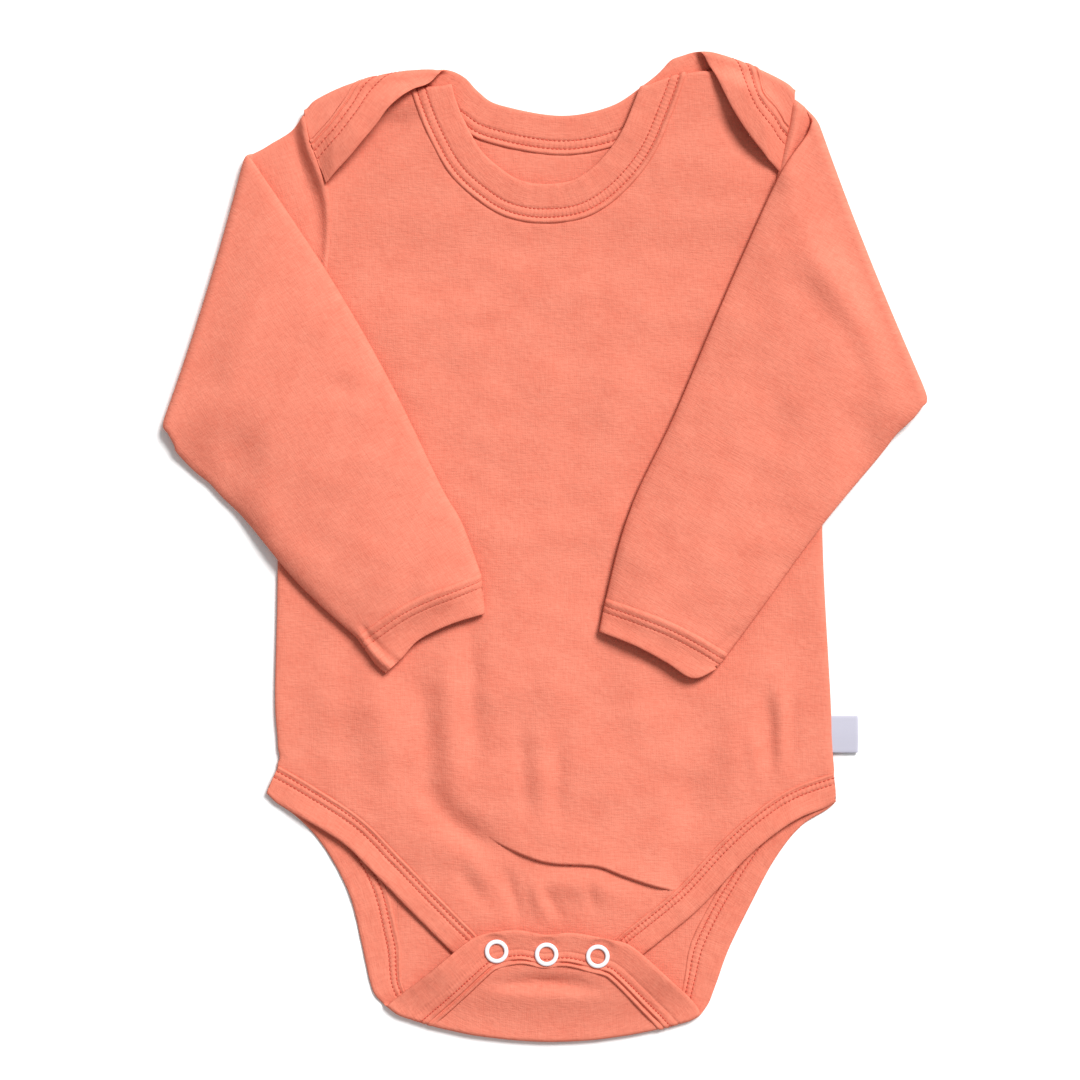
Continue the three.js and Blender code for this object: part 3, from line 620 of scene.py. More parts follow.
def piece(name, points, faces, material, nodes, slot):
    """A mesh in metres, with the flat cloth's own coordinates from the last two columns."""
    points = points.copy()
    eased = points[:, :2].copy()
    for x, y, give_x, give_y, radius in SOFT_CORNERS:
        near = np.exp(-((points[:, :1] - x) ** 2 + (points[:, 1:2] - y) ** 2) / radius**2)
        eased += near * np.array([(give_x, give_y)])
    points[:, :2] = eased
    corners = points[faces, :3]
    if np.einsum("ij,ij->i", corners[:, 0], np.cross(corners[:, 1], corners[:, 2])).sum() < 0:
        faces = faces[:, ::-1]
    mesh = bpy.data.meshes.new(name)
    mesh.from_pydata((points[:, :3] * MM).tolist(), [], faces.tolist())
    mesh.uv_layers.new(name="cloth").data.foreach_set("uv", points[faces.ravel(), -2:].ravel())
    mesh.shade_smooth()
    mesh.materials.append(material)
    made = placed(name, mesh)
    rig.ride(made, "root")
    if nodes:
        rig.replaces(made, *nodes)
    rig.slot(made, slot)
    return made


def cut_size(points, faces, round_about=1):
    """A shell's flat cut in metres, from its own cloth coordinates."""
    a, b, c = (points[faces[:, k], -2:] for k in range(3))
    area = abs(np.cross(b - a, c - a)).sum() / 4
    wide, long = np.ptp(points[:, -2]) * round_about, np.ptp(points[:, -1])
    return {"flat": (wide * MM, long * MM), "area": area * MM * MM}


JERSEY = jersey("coral_jersey", (0.735, 0.288, 0.213, 1), (0.665, 0.226, 0.163, 1))

tuck = {"radius": TUCK_RADIUS, "level": SHOULDER_LEVEL, "down": True, "outside": BAND_WALL / 2}
left_tuck = Crease((-96, 172.5), (-41, 184), 2.4, **tuck)
right_tuck = Crease((40.5, 184), (99.5, 180), 8, **tuck)


def tucked_end(crease, row):
    run, curve, _ = crease.place(np.array(row))
    return crease.at(run, curve + np.pi * TUCK_RADIUS + TUCK)


neck_ends = tucked_end(left_tuck, FRONT_NECK_SEAM[0]), tucked_end(right_tuck, FRONT_NECK_SEAM[-1])
front_neck_seam = along([neck_ends[0], *FRONT_NECK_SEAM, neck_ends[1]], 448)
front_leg_edge = along(LEFT_FRONT_LEG_EDGE[::-1] + FRONT_CROTCH_EDGE + RIGHT_FRONT_LEG_EDGE, 640)
leg_pins = {"width": LEG_BAND, "start": LEFT_SIDE_END, "end": RIGHT_SIDE_END}
left_arm, right_arm = along(LEFT_ARMHOLE, 63), along(RIGHT_ARMHOLE, 63)

front_top = beside(front_neck_seam, UNDER_BAND)[::4]
front_bottom = beside(front_leg_edge, LEG_BAND - UNDER_BAND, **leg_pins)[::4]
left_end = tucked_end(left_tuck, LEFT_ARMHOLE[0])
right_end = tucked_end(right_tuck, RIGHT_ARMHOLE[0])


def shoulder_end(start, end):
    return np.linspace(start, end, 25)[:-1]


front_top = np.vstack([
    shoulder_end(left_end, front_top[0]), front_top, shoulder_end(right_end, front_top[-1])[::-1]
])


def front_side(corner, armhole, side, end):
    return np.vstack([np.linspace(corner, armhole[0], 9)[:-1], armhole, along(side + [end], 92)[1:]])


front_grid = fill(
    front_top,
    front_bottom,
    front_side(left_end, left_arm, LEFT_SIDE, front_bottom[0]),
    front_side(right_end, right_arm, RIGHT_SIDE, front_bottom[-1]),
    fade=0.2,
)
SIDE_INSETS = SIDE_ROLL * (1 - np.cos(np.radians([0, 15, 30, 45, 60, 75, 90])))
END_INSETS = np.array([0, 0.4, 0.8, 1.2, 1.6, 2.2])


def panel(grid, height, rim, seed, sharp=False):
    """A panel's middle surface. Its wall thins towards the bands, and its sides roll to the side seams."""
    grid = bordered(grid, SIDE_INSETS)
    grid = bordered(grid.transpose(1, 0, 2), END_INSETS).transpose(1, 0, 2)
    points, faces = surface(grid)
    for level in (-1.2, -0.3, 0.3, 0.5, 0.7, 0.9, 1.1, 1.5, 2.4) if sharp else ():
        side = over_crease(points[:, 0], points[:, 1])[1]
        points, faces = cut_along(points, faces, side - level)
    x, y, from_side, from_end = points.T
    pucker = 0.2 * ripples(x, y, seed + 1, longest=11, count=4) * np.exp(-from_end / 5)
    z = height(x, y) + pucker + 0.14 * ripples(x, y, seed)
    rolls = smooth(68 - y, 0, 10)
    z = rim + (z - rim) * (1 - rolls * (1 - rounded(from_side, SIDE_ROLL)))
    wall = 0.45 + 0.55 * smooth(from_end, 0.2, 2.0)
    return np.column_stack([x, y, z, wall, x, y]), faces


front = panel(front_grid, front_height, MIDDLE + 0.35, 11, sharp=True)
for crease in (left_tuck, right_tuck):
    front = crease.apply(*front)
front = thicken(*front, WALL)
front_piece = piece("front_jersey", *front, JERSEY, ["front"], "jersey")
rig.sheet(front_piece, held="laid", rests_on=["back"], **cut_size(*front))

# The front neck band: a strip of the same jersey folded over the cut edge and coverstitched with two rows of
# thread near the panel. It runs round the front of the neck, and turns down behind at both shoulders.
STITCH = 1.76
THREAD = 0.2
NECK_BAND = 16
NECK_ROWS = (2.6, 5.9)
# A band's raised lip: share of the way from the panel to the first row, height over the band's middle.
LIP = [(0.01, 0.05), (0.08, 0.5), (0.25, 0.95), (0.5, 1.12), (0.75, 1.0), (0.93, 0.74)]
# How much of that height a leg band's lip has.
NARROW_LIP = 0.76


def uneven(run, seed):
    """A slow, irregular wave along a seam, from about -1 to 1."""
    waves = ((37.0, 0.5), (19.0, 0.35), (8.3, 0.25))
    turns = 2 * np.pi * run
    return sum(size * np.sin(turns / long + seed * (k + 1.7)) for k, (long, size) in enumerate(waves))


def band_section(width, rows, both):
    """The section's outline: distance from the panel, height, and 1 on its upper face or -1 on its lower."""
    lip = NARROW_LIP if width < NECK_BAND else 1
    top = [(share * (rows[0] - 0.5), high * lip) for share, high in LIP]
    for row in rows:
        top += [(row - 0.5, 0.56), (row - 0.22, 0.4), (row, 0.3), (row + 0.22, 0.4), (row + 0.5, 0.56)]
    top += [((rows[0] + rows[-1]) / 2, 0.7)]
    top += [(a, 0.6) for a in np.arange(rows[-1] + 1.3, width - 1.6, 1.5)]
    top = sorted(top + [(width - 1.3, 0.64), (width - 0.7, 0.52), (width - 0.2, 0.26)])
    plain = [(0.3, -0.1), (1.2, -0.4), (2.2, -0.6)] + [(a, -0.6) for a in np.arange(4, width - 1.5, 2.2)]
    plain += [(width - 0.9, -0.58), (width - 0.3, -0.38)]
    ridge = [(-1.8, -0.3), (-1.4, -0.62), (-1.0, -0.7), (-0.6, -0.62), (-0.2, -0.3)]
    lower = ridge + [(a, -0.7 * min(h, 1)) for a, h in top] if both else plain
    return np.array([(a, h, 1) for a, h in top] + [(width, 0, 0)] + [(a, h, -1) for a, h in lower[::-1]])


def band(line, seam, edge, rows, height, pins=None, seed=0.0, wave=0.2, both=None, calm=None, rise=None):
    """A band's solid, from its seam to its free edge. Both are distances to the left of the line."""
    width = np.min(abs(edge - seam))
    run = lengths(line)
    cells = []
    for away, high, face in band_section(width, rows, both):
        at = beside(line, seam + (edge - seam) * away / width, **(pins or {}))
        base = height(at[:, 0], at[:, 1]) + wave * uneven(run, seed) * smooth(away, 2, width)
        if rise:
            base = base + rise(at) * smooth(away, 4, width)
        near = min(1, sum(bell(away - row, 0.7) for row in rows))
        between = 1 if rows[0] < away < rows[-1] and face > 0 else 0
        pull = np.cos(run / STITCH * 2 * np.pi) * (0.07 * near + 0.045 * between)
        lip = 0.1 * uneven(run * 2.1, seed + 2) * bell(away - 0.9, 0.7)
        relief = abs(high) + pull + lip
        if both and face < 0:
            relief = relief + both(at) * 0.75 * (bell(away - 0.7, 0.5) + bell(away + 1.1, 0.5))
        if calm:
            relief = relief + (min(0.56, abs(high)) - relief) * calm(at)
        cells.append(np.column_stack([at, base + face * relief, run, np.full(len(run), away)]))
    points, faces = surface(np.array(cells).transpose(1, 0, 2), closed=True)
    size, wide = len(cells), len(run)
    caps = []
    for start, way in ((0, 1), (size * (wide - 1), -1)):
        ring = np.arange(start, start + size)
        caps += [np.array([(ring[0], ring[k], ring[k + 1])])[:, ::way] for k in range(1, size - 1)]
    return points, np.vstack([faces] + caps)


def at_height(lines, height):
    return [np.column_stack([line, height(line[:, 0], line[:, 1])]) for line in lines]


def spots_on(line, at):
    run = lengths(line)
    return np.column_stack([np.interp(at, run, column) for column in line.T])


def stitches(lines, face=1, ladder=(), lift=0.4):
    """Stitches along lines in space, as short plump threads whose ends dip into the cloth on that face."""
    rings = ((-0.5, 0.45, -0.2), (-0.36, 0.85, -0.05), (0, 1, 0.04), (0.36, 0.85, -0.05), (0.5, 0.45, -0.2))
    local = np.array([
        (place, THREAD * size * np.cos(angle), THREAD * size * np.sin(angle) + dip)
        for place, size, dip in rings
        for angle in np.radians(np.arange(0, 360, 60))
    ])
    skin = surface(local.reshape(len(rings), 6, 3), closed=True)[1]
    last = len(local) - 6
    ends = [(0, k + 1, k) for k in range(1, 5)] + [(last, last + k, last + k + 1) for k in range(1, 5)]
    skin = np.vstack([skin[:, ::-1], ends])
    centres, headings, longs = [], [], []
    for line in lines:
        at = np.arange(STITCH / 2, lengths(line)[-1], STITCH)
        centres.append(spots_on(line, at))
        headings.append(spots_on(line, at + 0.5) - spots_on(line, at - 0.5))
        longs.append(np.full(len(at), 0.78 * STITCH))
    for inner, outer in [ladder] if len(ladder) else []:
        at = np.arange(STITCH, lengths(inner)[-1] - STITCH, STITCH)
        start, end = spots_on(inner, at), spots_on(outer, at * lengths(outer)[-1] / lengths(inner)[-1] + 0.5)
        centres.append((start + end) / 2)
        headings.append(end - start)
        longs.append(np.linalg.norm(end - start, axis=1))
    centres, longs = np.vstack(centres), np.concatenate(longs)
    headings = np.vstack(headings)
    headings /= np.linalg.norm(headings, axis=1, keepdims=True)
    aside = np.column_stack([-headings[:, 1], headings[:, 0], np.zeros(len(headings))])
    points = centres[:, None] + headings[:, None] * (local[None, :, :1] * longs[:, None, None])
    points = points + aside[:, None] * local[None, :, 1:2]
    points[..., 2] += face * (lift + local[None, :, 2])
    flat = np.broadcast_to(local[None, :, :2], (*points.shape[:2], 2))
    faces = (skin[None] + (np.arange(len(centres)) * len(local))[:, None, None]).reshape(-1, 3)
    return np.concatenate([points, flat], axis=-1).reshape(-1, 5), faces[:, ::face]


def joined(*meshes):
    """Several meshes' points and triangles as one."""
    firsts = np.cumsum([0] + [len(points) for points, _ in meshes])
    return (
        np.vstack([points for points, _ in meshes]),
        np.vstack([faces + first for (_, faces), first in zip(meshes, firsts)]),
    )


def thread(name, colour):
    """Textured polyester thread, a little smoother than the jersey, with its twist as a fine bump."""
    made, dye = plain_material(name)
    _, along_it, around = dye.cloth()
    twist = (along_it * 40 + around * 12).wave()
    base = twist.mix(tuple(0.72 * c for c in colour[:3]) + (1,), colour)
    bump = dye.bump(0.5, 0.05, twist)
    dye.skin({"Base Color": base, "Roughness": 0.62, "Normal": bump, "Sheen Weight": 0.15})
    return made


BAND_JERSEY = jersey("coral_band_jersey", (0.735, 0.285, 0.209, 1), (0.655, 0.219, 0.157, 1))
# The thread's colour is darker than the jersey's: partly its own red, partly painted shade of the stitch holes.
THREAD_DYE_AND_SHADE = thread("coral_thread", (0.66, 0.13, 0.085, 1))


def neck_rise(at):
    """How much the front neck band's free edge stands up between the laps."""
    return 0.5 * (1 - smooth(at[:, 1], 140, 160))


front_neck = band(front_neck_seam, 0, NECK_BAND, NECK_ROWS, front_height, seed=0.4, rise=neck_rise)
neck_rows = [beside(front_neck_seam, row) for row in NECK_ROWS]
front_neck_stitches = stitches(at_height(neck_rows, front_height))
for crease in (left_tuck, right_tuck):
    front_neck = crease.apply(*front_neck)
    front_neck_stitches = crease.fold(front_neck_stitches[0]), front_neck_stitches[1]


def band_pieces(part, half, cloth, sewing, edge, width, rests_on):
    """A band and its stitches as pieces. The band's flat cut is as long as its edge."""
    made = piece(f"{part}_band_{half}", *cloth, BAND_JERSEY, [f"{part}_binding_{half}"], "binding")
    sewn = piece(f"{part}_thread_{half}", *sewing, THREAD_DYE_AND_SHADE, [], "binding")
    flat = lengths(edge)[-1] * MM, width * MM
    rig.sheet(made, flat=flat, held="folded", rests_on=[rests_on], with_pieces=[sewn])


band_pieces("neck", "front", front_neck, front_neck_stitches, front_neck_seam, NECK_BAND, "front_jersey")

# The front leg band: the same folded strip, from side seam to side seam round both legs and the front's
# crotch edge, which lies under the flap and carries the snaps' studs.
LEG_ROWS = (1.9, 4.2)


def leg_rise(at):
    """How much the front leg band's free edge stands up between the side seams and the flap."""
    return 1.2 * smooth(at[:, 1], -146, -130) * smooth(110 - abs(at[:, 0] - 3), 0, 14)


front_leg = band(front_leg_edge, LEG_BAND, 0, LEG_ROWS, front_height, leg_pins, seed=1.3, rise=leg_rise)
leg_rows = [beside(front_leg_edge, LEG_BAND - row, **leg_pins) for row in LEG_ROWS]
front_leg_stitches = stitches(at_height(leg_rows, front_height))
band_pieces("leg", "front", front_leg, front_leg_stitches, front_leg_edge, LEG_BAND, "back")

# The back: one panel of jersey that lies lowest. Its shoulders turn up and over the front's as laps, and its
# crotch end turns up as the flap. Inside the neck and the legs its inner face shows.
SHOULDER_RADIUS = 2.55
CROTCH_RADIUS = 1.4
FLAP_LEVEL = 6.7
BACK_REST = BACK_LEVEL + 0.34
BAND_REST = 0.8
BACK_NECK_EDGE = [
    (-34.2, 187.2), (-27, 181.6), (-18, 176.4), (6.2, 172.2), (26, 176), (39.4, 184.6), (49.4, 192.4),
    (56.4, 196.4),
]
LEFT_LAP_EDGE = [
    (-87.4, 144.6), (-77.5, 155.5), (-68.2, 166.6), (-62.2, 174.6), (-53.8, 181.4), (-45.4, 185.4),
]
RIGHT_LAP_EDGE = [
    (93.4, 149), (88.9, 153.8), (81, 163.8), (74.1, 174.6), (67.2, 188.4), (64.2, 193.6),
]
LEFT_BACK_LEG_EDGE = [
    (-112.2, -100.2), (-100, -107.6), (-88.6, -120), (-78.6, -138.6), (-73.8, -157.4), (-70.4, -173),
    (-67.4, -181.6),
]
RIGHT_BACK_LEG_EDGE = [
    (116.2, -103.6), (102.6, -111.4), (91.4, -125.4), (80.8, -145.4), (73, -161.4), (67.6, -176.4),
]
FLAP_EDGE = [
    (-60, -180.6), (-46, -169.6), (-33, -158.8), (-25, -154.4), (-12, -152.6), (0, -154.4), (12, -153.8),
    (28.6, -157), (36.4, -160.6), (48, -171), (60.4, -183.4),
]
LEFT_LAP_END = (-93.5, 160.4)
RIGHT_LAP_END = (96.8, 166.6)
# Folds in the flap and in each lap, with the columns of the front's folds.
FLAP_FOLDS = [
    (-17, -175.2, 18, -175.8, 1, 3.2, 2, -3.4),
    (-30, -178.5, 30, -179.5, 2, 2, 5, 0.5),
    (-52, -186, -30, -170, 0, 4, 4, 0.5),
]
LAP_FOLDS = [
    (69, 194, 93, 156, 0, 12, 40, 4.0),
    (-90, 147, -46, 188, 2, 8, 40, 5.0),
]


def flap_lift(x, y, past):
    rise = FLAP_LEVEL - BACK_LEVEL - 2 * CROTCH_RADIUS
    return rise * smooth(past, 2, 26) + folds_at(x, y, FLAP_FOLDS) * smooth(past, 2, 8)


def lap_lift(x, y, past):
    inside = smooth(97 - abs(x - 1.5), 2, 12)
    return (folds_at(x, y, LAP_FOLDS) + 0.25 * ripples(x, y, 31, 30, 5)) * smooth(past, 0, 8) * inside


left_shoulder = Crease((-96.6, 176), (-43, 191), 4, SHOULDER_RADIUS, lift=lap_lift)
right_shoulder = Crease((59, 199.4), (100.4, 183), 2.2, SHOULDER_RADIUS, lift=lap_lift)
crotch = Crease((67, -187), (-67, -184.8), 12.4, CROTCH_RADIUS, lift=flap_lift)
back_creases = (left_shoulder, right_shoulder, crotch)
laps = left_shoulder.unfold(LEFT_LAP_EDGE), right_shoulder.unfold(RIGHT_LAP_EDGE)[::-1]
back_neck_edge = along(np.vstack([laps[0], BACK_NECK_EDGE, laps[1]]), 768)
lap_pins = {
    "width": -NECK_BAND,
    "start": left_shoulder.unfold(LEFT_LAP_END),
    "end": right_shoulder.unfold(RIGHT_LAP_END),
}
back_leg_edge = along(
    np.vstack([LEFT_BACK_LEG_EDGE, crotch.unfold(FLAP_EDGE), RIGHT_BACK_LEG_EDGE[::-1]]), 768
)


def level_at(height):
    return lambda x, y: np.full_like(x, height)


lowest, band_lowest = level_at(BACK_REST), level_at(BAND_REST)


def back_side(crease, corner, armhole, side, end):
    turned = crease.unfold(armhole[0])
    return np.vstack([np.linspace(corner, turned, 11)[:-1], front_side(turned, armhole, side, end)])


back_top = beside(back_neck_edge, UNDER_BAND - NECK_BAND, **lap_pins)[::4]
leg_run = lengths(back_leg_edge)
on_leg = smooth(np.minimum(leg_run, leg_run[-1] - leg_run), 15, 60)
on_leg = on_leg * smooth(-crotch.place(back_leg_edge)[2], 0, 22)
back_leg_width = LEG_BAND + 3.2 * on_leg
back_bottom = beside(back_leg_edge, back_leg_width - UNDER_BAND, **leg_pins)[::4]
back_grid = fill(
    back_top,
    back_bottom,
    back_side(left_shoulder, back_top[0], left_arm, LEFT_SIDE, back_bottom[0]),
    back_side(right_shoulder, back_top[-1], right_arm, RIGHT_SIDE, back_bottom[-1]),
)
back = panel(back_grid, lowest, MIDDLE - 0.35, 21)
for crease in back_creases:
    back = crease.apply(*back)
back = thicken(*back, WALL)
back_piece = piece("back_jersey", *back, JERSEY, ["back"], "jersey")
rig.sheet(back_piece, held="folded", rests_on=["floor"], **cut_size(*back))

# The back neck band and the back leg band: folded strips along both laps and the back of the neck, and round
# both legs and the flap. Where their inner face shows, the loopers' threads cross between the two rows. The
# leg band is pressed flat where the snaps are.
SNAPS = [(-19.5, -161.2), (0.4, -162.4), (20.8, -163.2)]


def round_snaps(at):
    away = [np.linalg.norm(at - crotch.unfold([snap]), axis=1) for snap in SNAPS]
    return 1 - smooth(np.min(away, axis=0), 5.4, 7.4)


def turned_over(at):
    past = [crease.place(at)[2] - np.pi * crease.radius for crease in back_creases]
    return 0.25 * smooth(np.maximum(past[0], past[1]), 0, 5) + smooth(past[2], 0, 5)


def flap_rise(at):
    """How much the flap's free edge stands off the front, between the snaps and beside them."""
    return -1.0 * smooth(crotch.place(at)[2], 6, 26) * (1 - round_snaps(at))


back_neck = band(back_neck_edge, -NECK_BAND, 0, NECK_ROWS, band_lowest, lap_pins, 2.2, both=turned_over)
back_neck_rows = [beside(back_neck_edge, row - NECK_BAND, **lap_pins) for row in NECK_ROWS]
back_leg = band(
    back_leg_edge, back_leg_width, 0, LEG_ROWS, band_lowest, leg_pins, seed=3.1, both=turned_over,
    calm=round_snaps, rise=flap_rise,
)
row_shares = [1 - row / LEG_BAND for row in LEG_ROWS]
back_leg_rows = [beside(back_leg_edge, back_leg_width * share, **leg_pins) for share in row_shares]
back_bands = {
    "neck": (back_neck, back_neck_rows, back_neck_edge, NECK_BAND),
    "leg": (back_leg, back_leg_rows, back_leg_edge, LEG_BAND),
}
for part, (cloth, rows, edge, width) in back_bands.items():
    rows = at_height(rows, band_lowest)
    under = rows if part == "neck" else rows[:1]
    sewing = joined(stitches(rows, ladder=rows), stitches(under, face=-1, lift=0.34))
    for crease in back_creases:
        cloth = crease.apply(*cloth)
        sewing = crease.fold(sewing[0]), sewing[1]
    band_pieces(part, "back", cloth, sewing, edge, width, "floor")

# The sleeves: long tubes of jersey, set into the armholes with a seam. They lie flat to a crease outside the
# body and turn over it across the front, where they stand a little plump.
LAP_LEVEL = 5.6
SLEEVE_RADIUS = 1.0
SLEEVE_SAG = 2.8
SLEEVE_PLUMP = 3.4
ARM_SEAM = -0.3
LEFT_SLEEVE_HEAD = [(-100.4, 166.4), (-109, 160.8)]
RIGHT_SLEEVE_HEAD = [(103.6, 174.8)]
LEFT_SLEEVE_TOP = [(-117.4, 154), (-87, 108.6), (-63.6, 68), (-43, 26), (-33.8, 9.6), (-25.9, -11.6)]
LEFT_SLEEVE_BOTTOM = [(-151, 46.6), (-147, 36.6), (-139.4, 27.4), (-122, 13.6), (-98, -14.8), (-74.6, -36.4)]
RIGHT_SLEEVE_TOP = [(105.2, 165.4), (93.8, 148.2), (78.2, 114.2), (52.6, 54.2), (34, 14), (24.2, -21.6)]
RIGHT_SLEEVE_BOTTOM = [(151.4, 55.4), (146, 48.6), (136.6, 40), (110.8, 9.8), (85.8, -24.4), (72, -43.2)]
LEFT_CUFF_SEAM = [(-25.9, -11.6), (-36.6, -15.8), (-47.8, -20), (-59, -25.6), (-74.6, -36.4)]
RIGHT_CUFF_SEAM = [(24.2, -21.6), (36.6, -25.8), (49.6, -30.8), (61, -36.6), (72, -43.2)]
LEFT_CUFF_END = [(-24.4, -26.4), (-38, -30.6), (-50.6, -36.8), (-57.6, -44.2), (-64.6, -50.8)]
RIGHT_CUFF_END = [(21.8, -33.6), (35.6, -39), (48, -45.6), (58.6, -52), (67.6, -48.6)]
# Folds in the sleeves, as they lie folded over, with the columns of the front's folds.
SLEEVE_FOLDS = [
    (109, 115, 143, 62, 5, 12, 8, 5.4),
    (100, 104, 128, 60, 5, 5, 7, -0.9),
    (134, 62, 117, 39, 0, 5, 5, -0.8),
    (98, 54, 88, 40, 0, 7, 7, -1.2),
    (110, 96, 120, 70, 0, 8, 8, 0.9),
    (-84, 66, -78, 58, 0, 6, 6, -1.0),
    (-136, 78, -132, 60, 0, 7, 7, -1.1),
    (-127, 30, -84, -22, 0, 7, 5, 0.9),
    (-96, 92, -60, 22, 4, 12, 12, 0.6),
    (-44, 4, -58, -22, 0, 4, 5, -0.8),
    (-74.6, -34.9, -60.9, -48.9, -1, 1.5, 1.5, 2.4),
    (-71.8, -32.8, -58.1, -46.8, -1, 1.1, 1.6, -1.6),
    (76, -34, 68, -42, 0, 1.8, 1.8, -1.0),
]


def head_rise(x, y):
    away = abs(x - 3) - 91 - 0.3 * np.maximum(0, y - 150)
    lapped = (LAP_LEVEL - SHOULDER_LEVEL) * smooth(y, 140, 150)
    return ((SHOULDER_LEVEL - FRONT_LEVEL) * smooth(y, 118, 160) + lapped) * (1 - smooth(away, 0, 10))


def sleeve_lift(x, y, past):
    outside = abs(x - 2.5) - 108.5
    sag = SLEEVE_SAG * smooth(outside, 2, 20) * smooth(68 - 0.33 * outside - y, 3, 28)
    return (head_rise(x, y) + front_bulge(x, y)) * smooth(past, 0, 8) - sag


def sleeve_crease(start, end, bow):
    return Crease(start, end, bow, SLEEVE_RADIUS, FRONT_LEVEL, outside=FRONT_LEVEL, lift=sleeve_lift)


def tube(grid, crease, plump, grain, tuck_in=0.0):
    """A flattened tube's middle surface, as rings. It is plump where it has turned over the crease."""
    grid = bordered(grid, SIDE_INSETS)
    x, y, from_side = np.moveaxis(grid, -1, 0)
    run, curve, beyond = crease.place(np.stack([x, y], axis=-1))
    flat = crease.at(run, curve - beyond + np.pi * crease.radius)
    over = smooth(beyond, 3, 24)
    share = rounded(from_side, SIDE_ROLL)
    across = from_side / from_side.max(axis=1, keepdims=True)
    top = FRONT_LEVEL + head_rise(x, y)
    middle = (top + BACK_LEVEL) / 2
    dome = plump * np.sin(np.clip(across, 0, 1) * np.pi / 2) ** 0.7
    loose = 0.27 * ripples(flat[..., 0], flat[..., 1], 41)
    folded = folds_at(flat[..., 0], flat[..., 1], SLEEVE_FOLDS)
    fullness = over * np.maximum(dome + (folded + loose) * share, 0.45 * dome)
    from_head = np.linalg.norm(grid[..., :2] - grid[:1, :, :2], axis=-1)
    from_cuff = np.linalg.norm(grid[..., :2] - grid[-1:, :, :2], axis=-1)
    narrow = 1 - tuck_in * (bell(from_head, 0.9) + bell(from_cuff, 0.9))
    ridge = bell(from_head - 2.0, 1.5) - 0.8 * bell(from_head - 8, 3.6)
    ridge = 1.6 * ridge * smooth(y, 96, 140) * (tuck_in > 0)
    upper = middle + ((top - middle) * narrow + ridge) * share
    lower = middle - (middle - BACK_LEVEL) * share * narrow - fullness * share
    u = x * grain[1] - y * grain[0]
    v = x * grain[0] + y * grain[1]
    wall = np.ones_like(x)
    sides = [np.stack([x, y, z, wall, u, v], axis=-1) for z in (upper, lower)]
    return np.concatenate([sides[0], sides[1][:, -2:0:-1]], axis=1)


def sleeve(side, way, armhole, crease, head_edge, top, bottom, seam):
    head = beside(armhole, way * ARM_SEAM, reach=9)
    seam_edge = along(crease.unfold(seam), 63)
    top_edge = along(np.vstack([head[:1], head_edge, crease.unfold(top)]), 140)
    bottom_edge = along(np.vstack([head[-1:], crease.unfold(bottom)]), 140)
    grain = seam_edge[31] - head[31]
    grain = grain / np.linalg.norm(grain)
    rings = tube(fill(head, seam_edge, top_edge, bottom_edge), crease, SLEEVE_PLUMP, grain, 0.35)
    cloth = thicken(*crease.apply(*surface(rings, True)), WALL)
    made = piece(f"sleeve_{side}_jersey", *cloth, JERSEY, [f"sleeve_{side}"], "jersey")
    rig.sheet(made, held="folded", rests_on=["front_jersey"], **cut_size(*cloth, round_about=2))
    return seam_edge, grain


left_fold = sleeve_crease((-151.8, 52.4), (-119.6, 158.4), -1.4)
right_fold = sleeve_crease((109.4, 168.4), (152.4, 61), -1.2)
left_edges = (LEFT_SLEEVE_HEAD, LEFT_SLEEVE_TOP, LEFT_SLEEVE_BOTTOM, LEFT_CUFF_SEAM)
right_edges = (RIGHT_SLEEVE_HEAD, RIGHT_SLEEVE_TOP, RIGHT_SLEEVE_BOTTOM, RIGHT_CUFF_SEAM)
left_cuff_edge, left_grain = sleeve("left", -1, left_arm, left_fold, *left_edges)
right_cuff_edge, right_grain = sleeve("right", 1, right_arm, right_fold, *right_edges)

# The cuffs: short tubes of folded jersey at the sleeves' ends, coverstitched like the other bands. Their
# mouths stand a little open.
CUFF_ROWS = (2.2, 4.6)
CUFF_WALL = 1.0
CUFF_LONG = 12
# From here on a cuff's rings spread out to its end, which isn't everywhere so far from the seam.
CUFF_PLAIN = 6.5
# A cuff's relief: distance from the seam, height.
CUFF_RELIEF = [
    (-0.6, -0.45), (-0.45, 0.05), (-0.15, 0.38), (0.3, 0.52), (0.8, 0.46), (1.3, 0.2), (1.7, 0.1),
    (1.95, -0.02), (2.2, -0.1), (2.45, -0.02), (2.8, 0.12), (3.4, 0.22), (4.0, 0.12), (4.35, -0.02),
    (4.6, -0.1), (4.85, -0.02), (5.3, 0.12), (6.5, 0.2), (7.6, 0.2), (8.7, 0.2), (9.8, 0.2), (10.8, 0.2),
    (11.4, 0.2), (CUFF_LONG, 0.1),
]


def cuff_rings(crease, seam_edge, end_edge, grain, away, swell, mouth):
    """Rings round a cuff at distances from its seam, swollen outwards, with a mouth that stands open."""
    long = np.linalg.norm(end_edge - seam_edge, axis=1)[None]
    past_rows = np.maximum(away - CUFF_PLAIN, 0)[:, None] / (CUFF_LONG - CUFF_PLAIN)
    reach = np.minimum(away[:, None] / long + past_rows * (1 - CUFF_LONG / long), 1)
    reached = seam_edge[None] + (end_edge - seam_edge)[None] * reach[..., None]
    rings, flat = (tube(reached, crease, plump, grain) for plump in (SLEEVE_PLUMP, 1.2))
    rings += (flat - rings) * smooth(away, 1, 11)[:, None, None]
    rings[..., 2] += (rings[..., 2] < MIDDLE) * 1.2 * smooth(away, 1, 8)[:, None]
    below = np.arange(rings.shape[1]) >= rings.shape[1] // 2 + 1
    opening = mouth * smooth(away, 2, 12)[:, None]
    rings[:, ~below, 2] += swell[:, None]
    rings[:, below, 2] -= swell[:, None] + opening
    return rings, below


